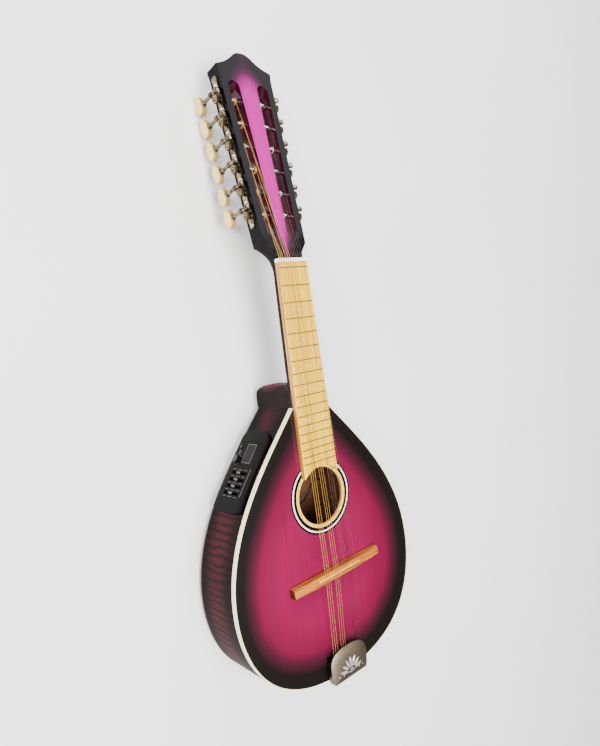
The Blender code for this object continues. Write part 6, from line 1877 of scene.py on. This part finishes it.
def controls():
    """Volume knob with its ribs and pointer, the tuner's button and the four sliders."""
    ribs = []
    for turn in circle_turns(6 * KNOB_RIBS):
        radius = KNOB_RADIUS - 0.0003 * (0.5 - 0.5 * math.cos(turn * KNOB_RIBS))
        ribs.append((radius * math.cos(turn), radius * math.sin(turn)))
    knob = softened(prism([ribs], GAP, KNOB_HEIGHT), 0.0005, 3, 60)
    stem = turned([(0, GAP * 2), (KNOB_SHAFT_RADIUS, GAP * 2), (KNOB_SHAFT_RADIUS, -SLIDER_STEM_DEPTH),
                   (0, -SLIDER_STEM_DEPTH)], 24)
    pointer = block((-0.00035, KNOB_RADIUS * 0.25, KNOB_HEIGHT - SEAM),
                    (0.00035, KNOB_RADIUS * 0.85, KNOB_HEIGHT))
    place = WALL @ Matrix.Translation((KNOB_X, KNOB_Z, PANEL_FACE))
    piece("ribbed_volume_knob", joined([(knob, GLOSS_BLACK), (stem, DEEP_BLACK), (pointer, PRINT)]), None,
          "volume_knob", ["volume_knob"], place)
    rise = TUNER_BUTTON_STROKE + GAP
    dome = [(0.0, rise)]
    for turn in steps_to(math.pi / 2, 6)[1:]:
        dome.append((TUNER_BUTTON_RADIUS * math.sin(turn), rise - 0.0006 * (1 - math.cos(turn))))
    dome += [(TUNER_BUTTON_RADIUS, -SLIDER_STEM_DEPTH), (0.0, -SLIDER_STEM_DEPTH)]
    place = WALL @ Matrix.Translation((TUNER_BUTTON_X, TUNER_BUTTON_Z, PANEL_FACE))
    piece("domed_tuner_button", turned(dome, 32), [GLOSS_BLACK], "tuner_button", ["tuner_button"],
          place)
    thumb, stem = SLIDER_THUMB / 2, SLIDER_STEM / 2
    thick = SLIDER_SLOT_WIDTH / 2 - GAP
    outline = [(-thumb, GAP), (thumb, GAP), (stem, SLIDER_THUMB_HEIGHT), (-stem, SLIDER_THUMB_HEIGHT)]
    for i in range(SLIDER_COUNT):
        cap = softened(prism([outline], -thick, thick, ALONG_X), 0.0003, 2, 50)
        post = block((-thick, -stem, -SLIDER_STEM_DEPTH), (thick, stem, GAP * 1.5))
        line = block((-thick, -0.0003, SLIDER_THUMB_HEIGHT - GAP), (thick, 0.0003, SLIDER_THUMB_HEIGHT))
        place = WALL @ Matrix.Translation((SLIDER_START + SLIDER_PITCH * i, SLIDER_Z, PANEL_FACE))
        body = f"eq_slider_{i + 1}"
        fader = joined([(cap, THUMB), (post, DEEP_BLACK), (line, DEEP_BLACK)])
        piece(f"fader_{i + 1}", fader, None, body, [body], place)


def battery():
    """The nine-volt battery in its bay, with its two snap contacts."""
    start = HOUSING_MARGIN
    low = PANEL_CENTRE_Z - HOUSING_HEIGHT / 2
    bay_depth = BATTERY_LENGTH + 2 * HOUSING_WALL + RIB_THICKNESS
    x0 = start + HOUSING_WALL + GAP
    y0 = low + HOUSING_WALL + GAP
    z0 = -bay_depth + HOUSING_WALL + GAP
    cell = block((x0, y0, z0), (x0 + BATTERY_WIDTH, y0 + BATTERY_HEIGHT, z0 + BATTERY_LENGTH - 0.0025))
    parts = [(softened(cell, 0.0012, 3), BATTERY_WRAP)]
    top = z0 + BATTERY_LENGTH
    for share in (0.27, 0.73):
        place = Matrix.Translation((x0 + BATTERY_WIDTH / 2, y0 + BATTERY_HEIGHT * share, top))
        snap = [(0, 0), (0.0022, 0), (0.0026, -0.0004), (0.0022, -0.0012), (0.0026, -0.0026), (0, -0.0026)]
        parts.append((turned(snap, 24, place), STEEL))
    piece("nine_volt_battery", joined(parts), None, replaces=["battery"], axes=WALL)


def in_body(route):
    """A lead's route from the body's front edge, in the instrument's frame."""
    return [(x, BODY_FRONT_Y + y, z) for x, y, z in route]


def harness():
    """Contact pickup, the two leads and their plug on the preamp."""
    x, y = PICKUP_POSITION
    under = -SOUNDBOARD_THICKNESS - GAP
    disc = turned([(0, under), (PICKUP_RADIUS - 0.0002, under), (PICKUP_RADIUS, under - 0.0002),
                   (PICKUP_RADIUS, under - PICKUP_THICKNESS), (0, under - PICKUP_THICKNESS)], 48,
                  Matrix.Translation((x, y, 0)))
    outside = -HOUSING_DEPTH - GAP
    plug_x = PANEL_LENGTH * PLUG_SHARE
    plug = block((plug_x - PLUG_WIDTH / 2, PANEL_CENTRE_Z - PLUG_HEIGHT / 2, outside - PLUG_DEPTH),
                 (plug_x + PLUG_WIDTH / 2, PANEL_CENTRE_Z + PLUG_HEIGHT / 2, outside), WALL)
    plug = softened(plug, 0.0005, 2)
    exits = [WALL @ Vector((plug_x, PANEL_CENTRE_Z + side * PLUG_HEIGHT / 4, outside - PLUG_DEPTH / 2))
             for side in (1, -1)]
    straight = -(WALL.to_3x3() @ Vector((0, 0, 1))) * (PLUG_DEPTH + 2 * LEAD_RADIUS)
    low = under - PICKUP_THICKNESS / 2
    first = [exits[0], exits[0] + straight] + in_body(PICKUP_LEAD_ROUTE)
    first += [(x, y, low - 4 * LEAD_RADIUS), (x, y, low)]
    jack_end = TAIL_Y + JACK_BARREL_LENGTH + GAP
    second = [exits[1], exits[1] + straight] + in_body(OUTPUT_LEAD_ROUTE)
    second += [(0.0, jack_end + 4 * LEAD_RADIUS, JACK_Z), (0.0, jack_end, JACK_Z)]
    leads = wires([smooth_through(first, 8), smooth_through(second, 8)], LEAD_RADIUS, LEAD, 12)
    parts = [(leads, LEAD), (disc, STEEL), (plug, MATTE_BLACK)]
    piece("pickup_and_leads", joined(parts), None, replaces=["pickup_harness"])


def jack():
    """The end-pin jack: polished strap button, socket and the nut inside the body."""
    edge = 0.0004
    nut_face = -(RIB_THICKNESS + GAP + TAIL_BLOCK_LENGTH + GAP)
    nut_end = nut_face - JACK_SEAT_HEIGHT
    bore_end = JACK_FLANGE_HEIGHT - JACK_BORE_DEPTH
    neck_radius = JACK_BARREL_RADIUS
    waist = []
    for share in steps_to(1, 8):
        flare = 0.0010 * (1 - math.sin(math.pi * share))
        waist.append((neck_radius + flare, JACK_SEAT_HEIGHT + 0.0052 * (1 - share)))
    top = JACK_FLANGE_HEIGHT
    profile = [(0.0, bore_end), (JACK_BORE_RADIUS, bore_end), (JACK_BORE_RADIUS, top - edge),
               (JACK_BORE_RADIUS + edge, top), (JACK_FLANGE_RADIUS - edge, top),
               (JACK_FLANGE_RADIUS, top - edge), (JACK_FLANGE_RADIUS, JACK_NECK_HEIGHT + edge)]
    profile += [(JACK_FLANGE_RADIUS - edge, JACK_NECK_HEIGHT)] + waist
    profile += [(JACK_SEAT_RADIUS - edge, JACK_SEAT_HEIGHT), (JACK_SEAT_RADIUS, JACK_SEAT_HEIGHT - edge),
                (JACK_SEAT_RADIUS, SEAM), (JACK_BARREL_RADIUS, SEAM), (JACK_BARREL_RADIUS, nut_face),
                (JACK_NUT_RADIUS, nut_face), (JACK_NUT_RADIUS, nut_end), (JACK_BARREL_RADIUS, nut_end),
                (JACK_BARREL_RADIUS, -JACK_BARREL_LENGTH), (0.0, -JACK_BARREL_LENGTH)]
    piece("strap_button_jack", turned(profile, 64, JACK), [NICKEL], replaces=["output_jack"])


# Stage

def floor():
    """A plain pale floor that the instrument lies on."""
    material, tree, shader = finish("pale_floor", srgb(246, 246, 245), 0.75)
    cloud = noise(tree, object_place(tree, (3, 3, 3)), detail=2)
    stain = ramp(tree, cloud, ((0.3, srgb(243, 243, 242)), (0.7, srgb(249, 249, 248))))
    feed(shader, "Base Color", stain)
    shape = bmesh.new()
    bmesh.ops.create_grid(shape, x_segments=8, y_segments=8, size=6.0)
    mesh = bpy.data.meshes.new("floor")
    shape.to_mesh(mesh)
    shape.free()
    mesh.materials.append(material)
    obj = placed("floor", mesh)


def softbox(name, place, target, width, height, power):
    """A rectangular lamp that shines from place towards target."""
    lamp = bpy.data.lights.new(name, "AREA")
    lamp.shape = "RECTANGLE"
    lamp.size = width
    lamp.size_y = height
    lamp.energy = power
    obj = placed(name, lamp)
    obj.location = place
    obj.rotation_euler = (Vector(target) - Vector(place)).to_track_quat("-Z", "Y").to_euler()


def studio():
    """Soft lamps above and beside the instrument, and an even pale surround."""
    world = bpy.data.worlds.new("surround")
    world.use_nodes = True
    background = world.node_tree.nodes["Background"]
    background.inputs["Color"].default_value = (1.0, 1.0, 1.0, 1.0)
    background.inputs["Strength"].default_value = 0.14
    bpy.context.scene.world = world
    softbox("overhead", (-0.3, -0.4, 2.2), (0, -0.1, 0), 1.4, 1.4, 122)
    softbox("left_wall", (-1.7, 0.3, 1.5), (0, -0.05, 0.05), 0.9, 0.9, 62)
    softbox("head_end", (-0.4, 1.9, 1.2), (0, 0.1, 0.05), 1.2, 0.8, 34)
    softbox("machine_glints", (1.13, 1.25, 1.08), (0, 0.27, 0.06), 0.8, 0.8, 15)


def camera():
    """The camera at the photograph's viewing angle."""
    place, target = Vector(CAMERA_PLACE), Vector(CAMERA_TARGET)
    ahead = (target - place).normalized()
    right = ahead.cross(Vector(CAMERA_UP)).normalized()
    axes = Matrix((right, right.cross(ahead), -ahead)).transposed().to_4x4()
    lens = bpy.data.cameras.new("camera")
    lens.lens = CAMERA_LENS
    lens.sensor_width = 36.0
    lens.shift_x, lens.shift_y = CAMERA_SHIFT
    obj = placed("camera", lens)
    obj.matrix_world = Matrix.Translation(place) @ axes
    bpy.context.scene.camera = obj


camera()
soundboard()
rosette()
binding()
side_wall()
back()
neck()
fingerboard()
frets()
pearl_dots()
headstock()
tuner_plates()
tuners()
strings()
bridge()
tailpiece_cover()
preamp()
controls()
battery()
harness()
jack()
dress("nut", BONE)
dress("tailpiece_base", NICKEL)
dress("neck_block", SPRUCE)
dress("tail_block", SPRUCE)
dress("top_bracing", SPRUCE)
dress("back_bracing", INSIDE)
dress("truss_rod", STEEL)
dress("preamp_housing", DEEP_BLACK)
floor()
studio()
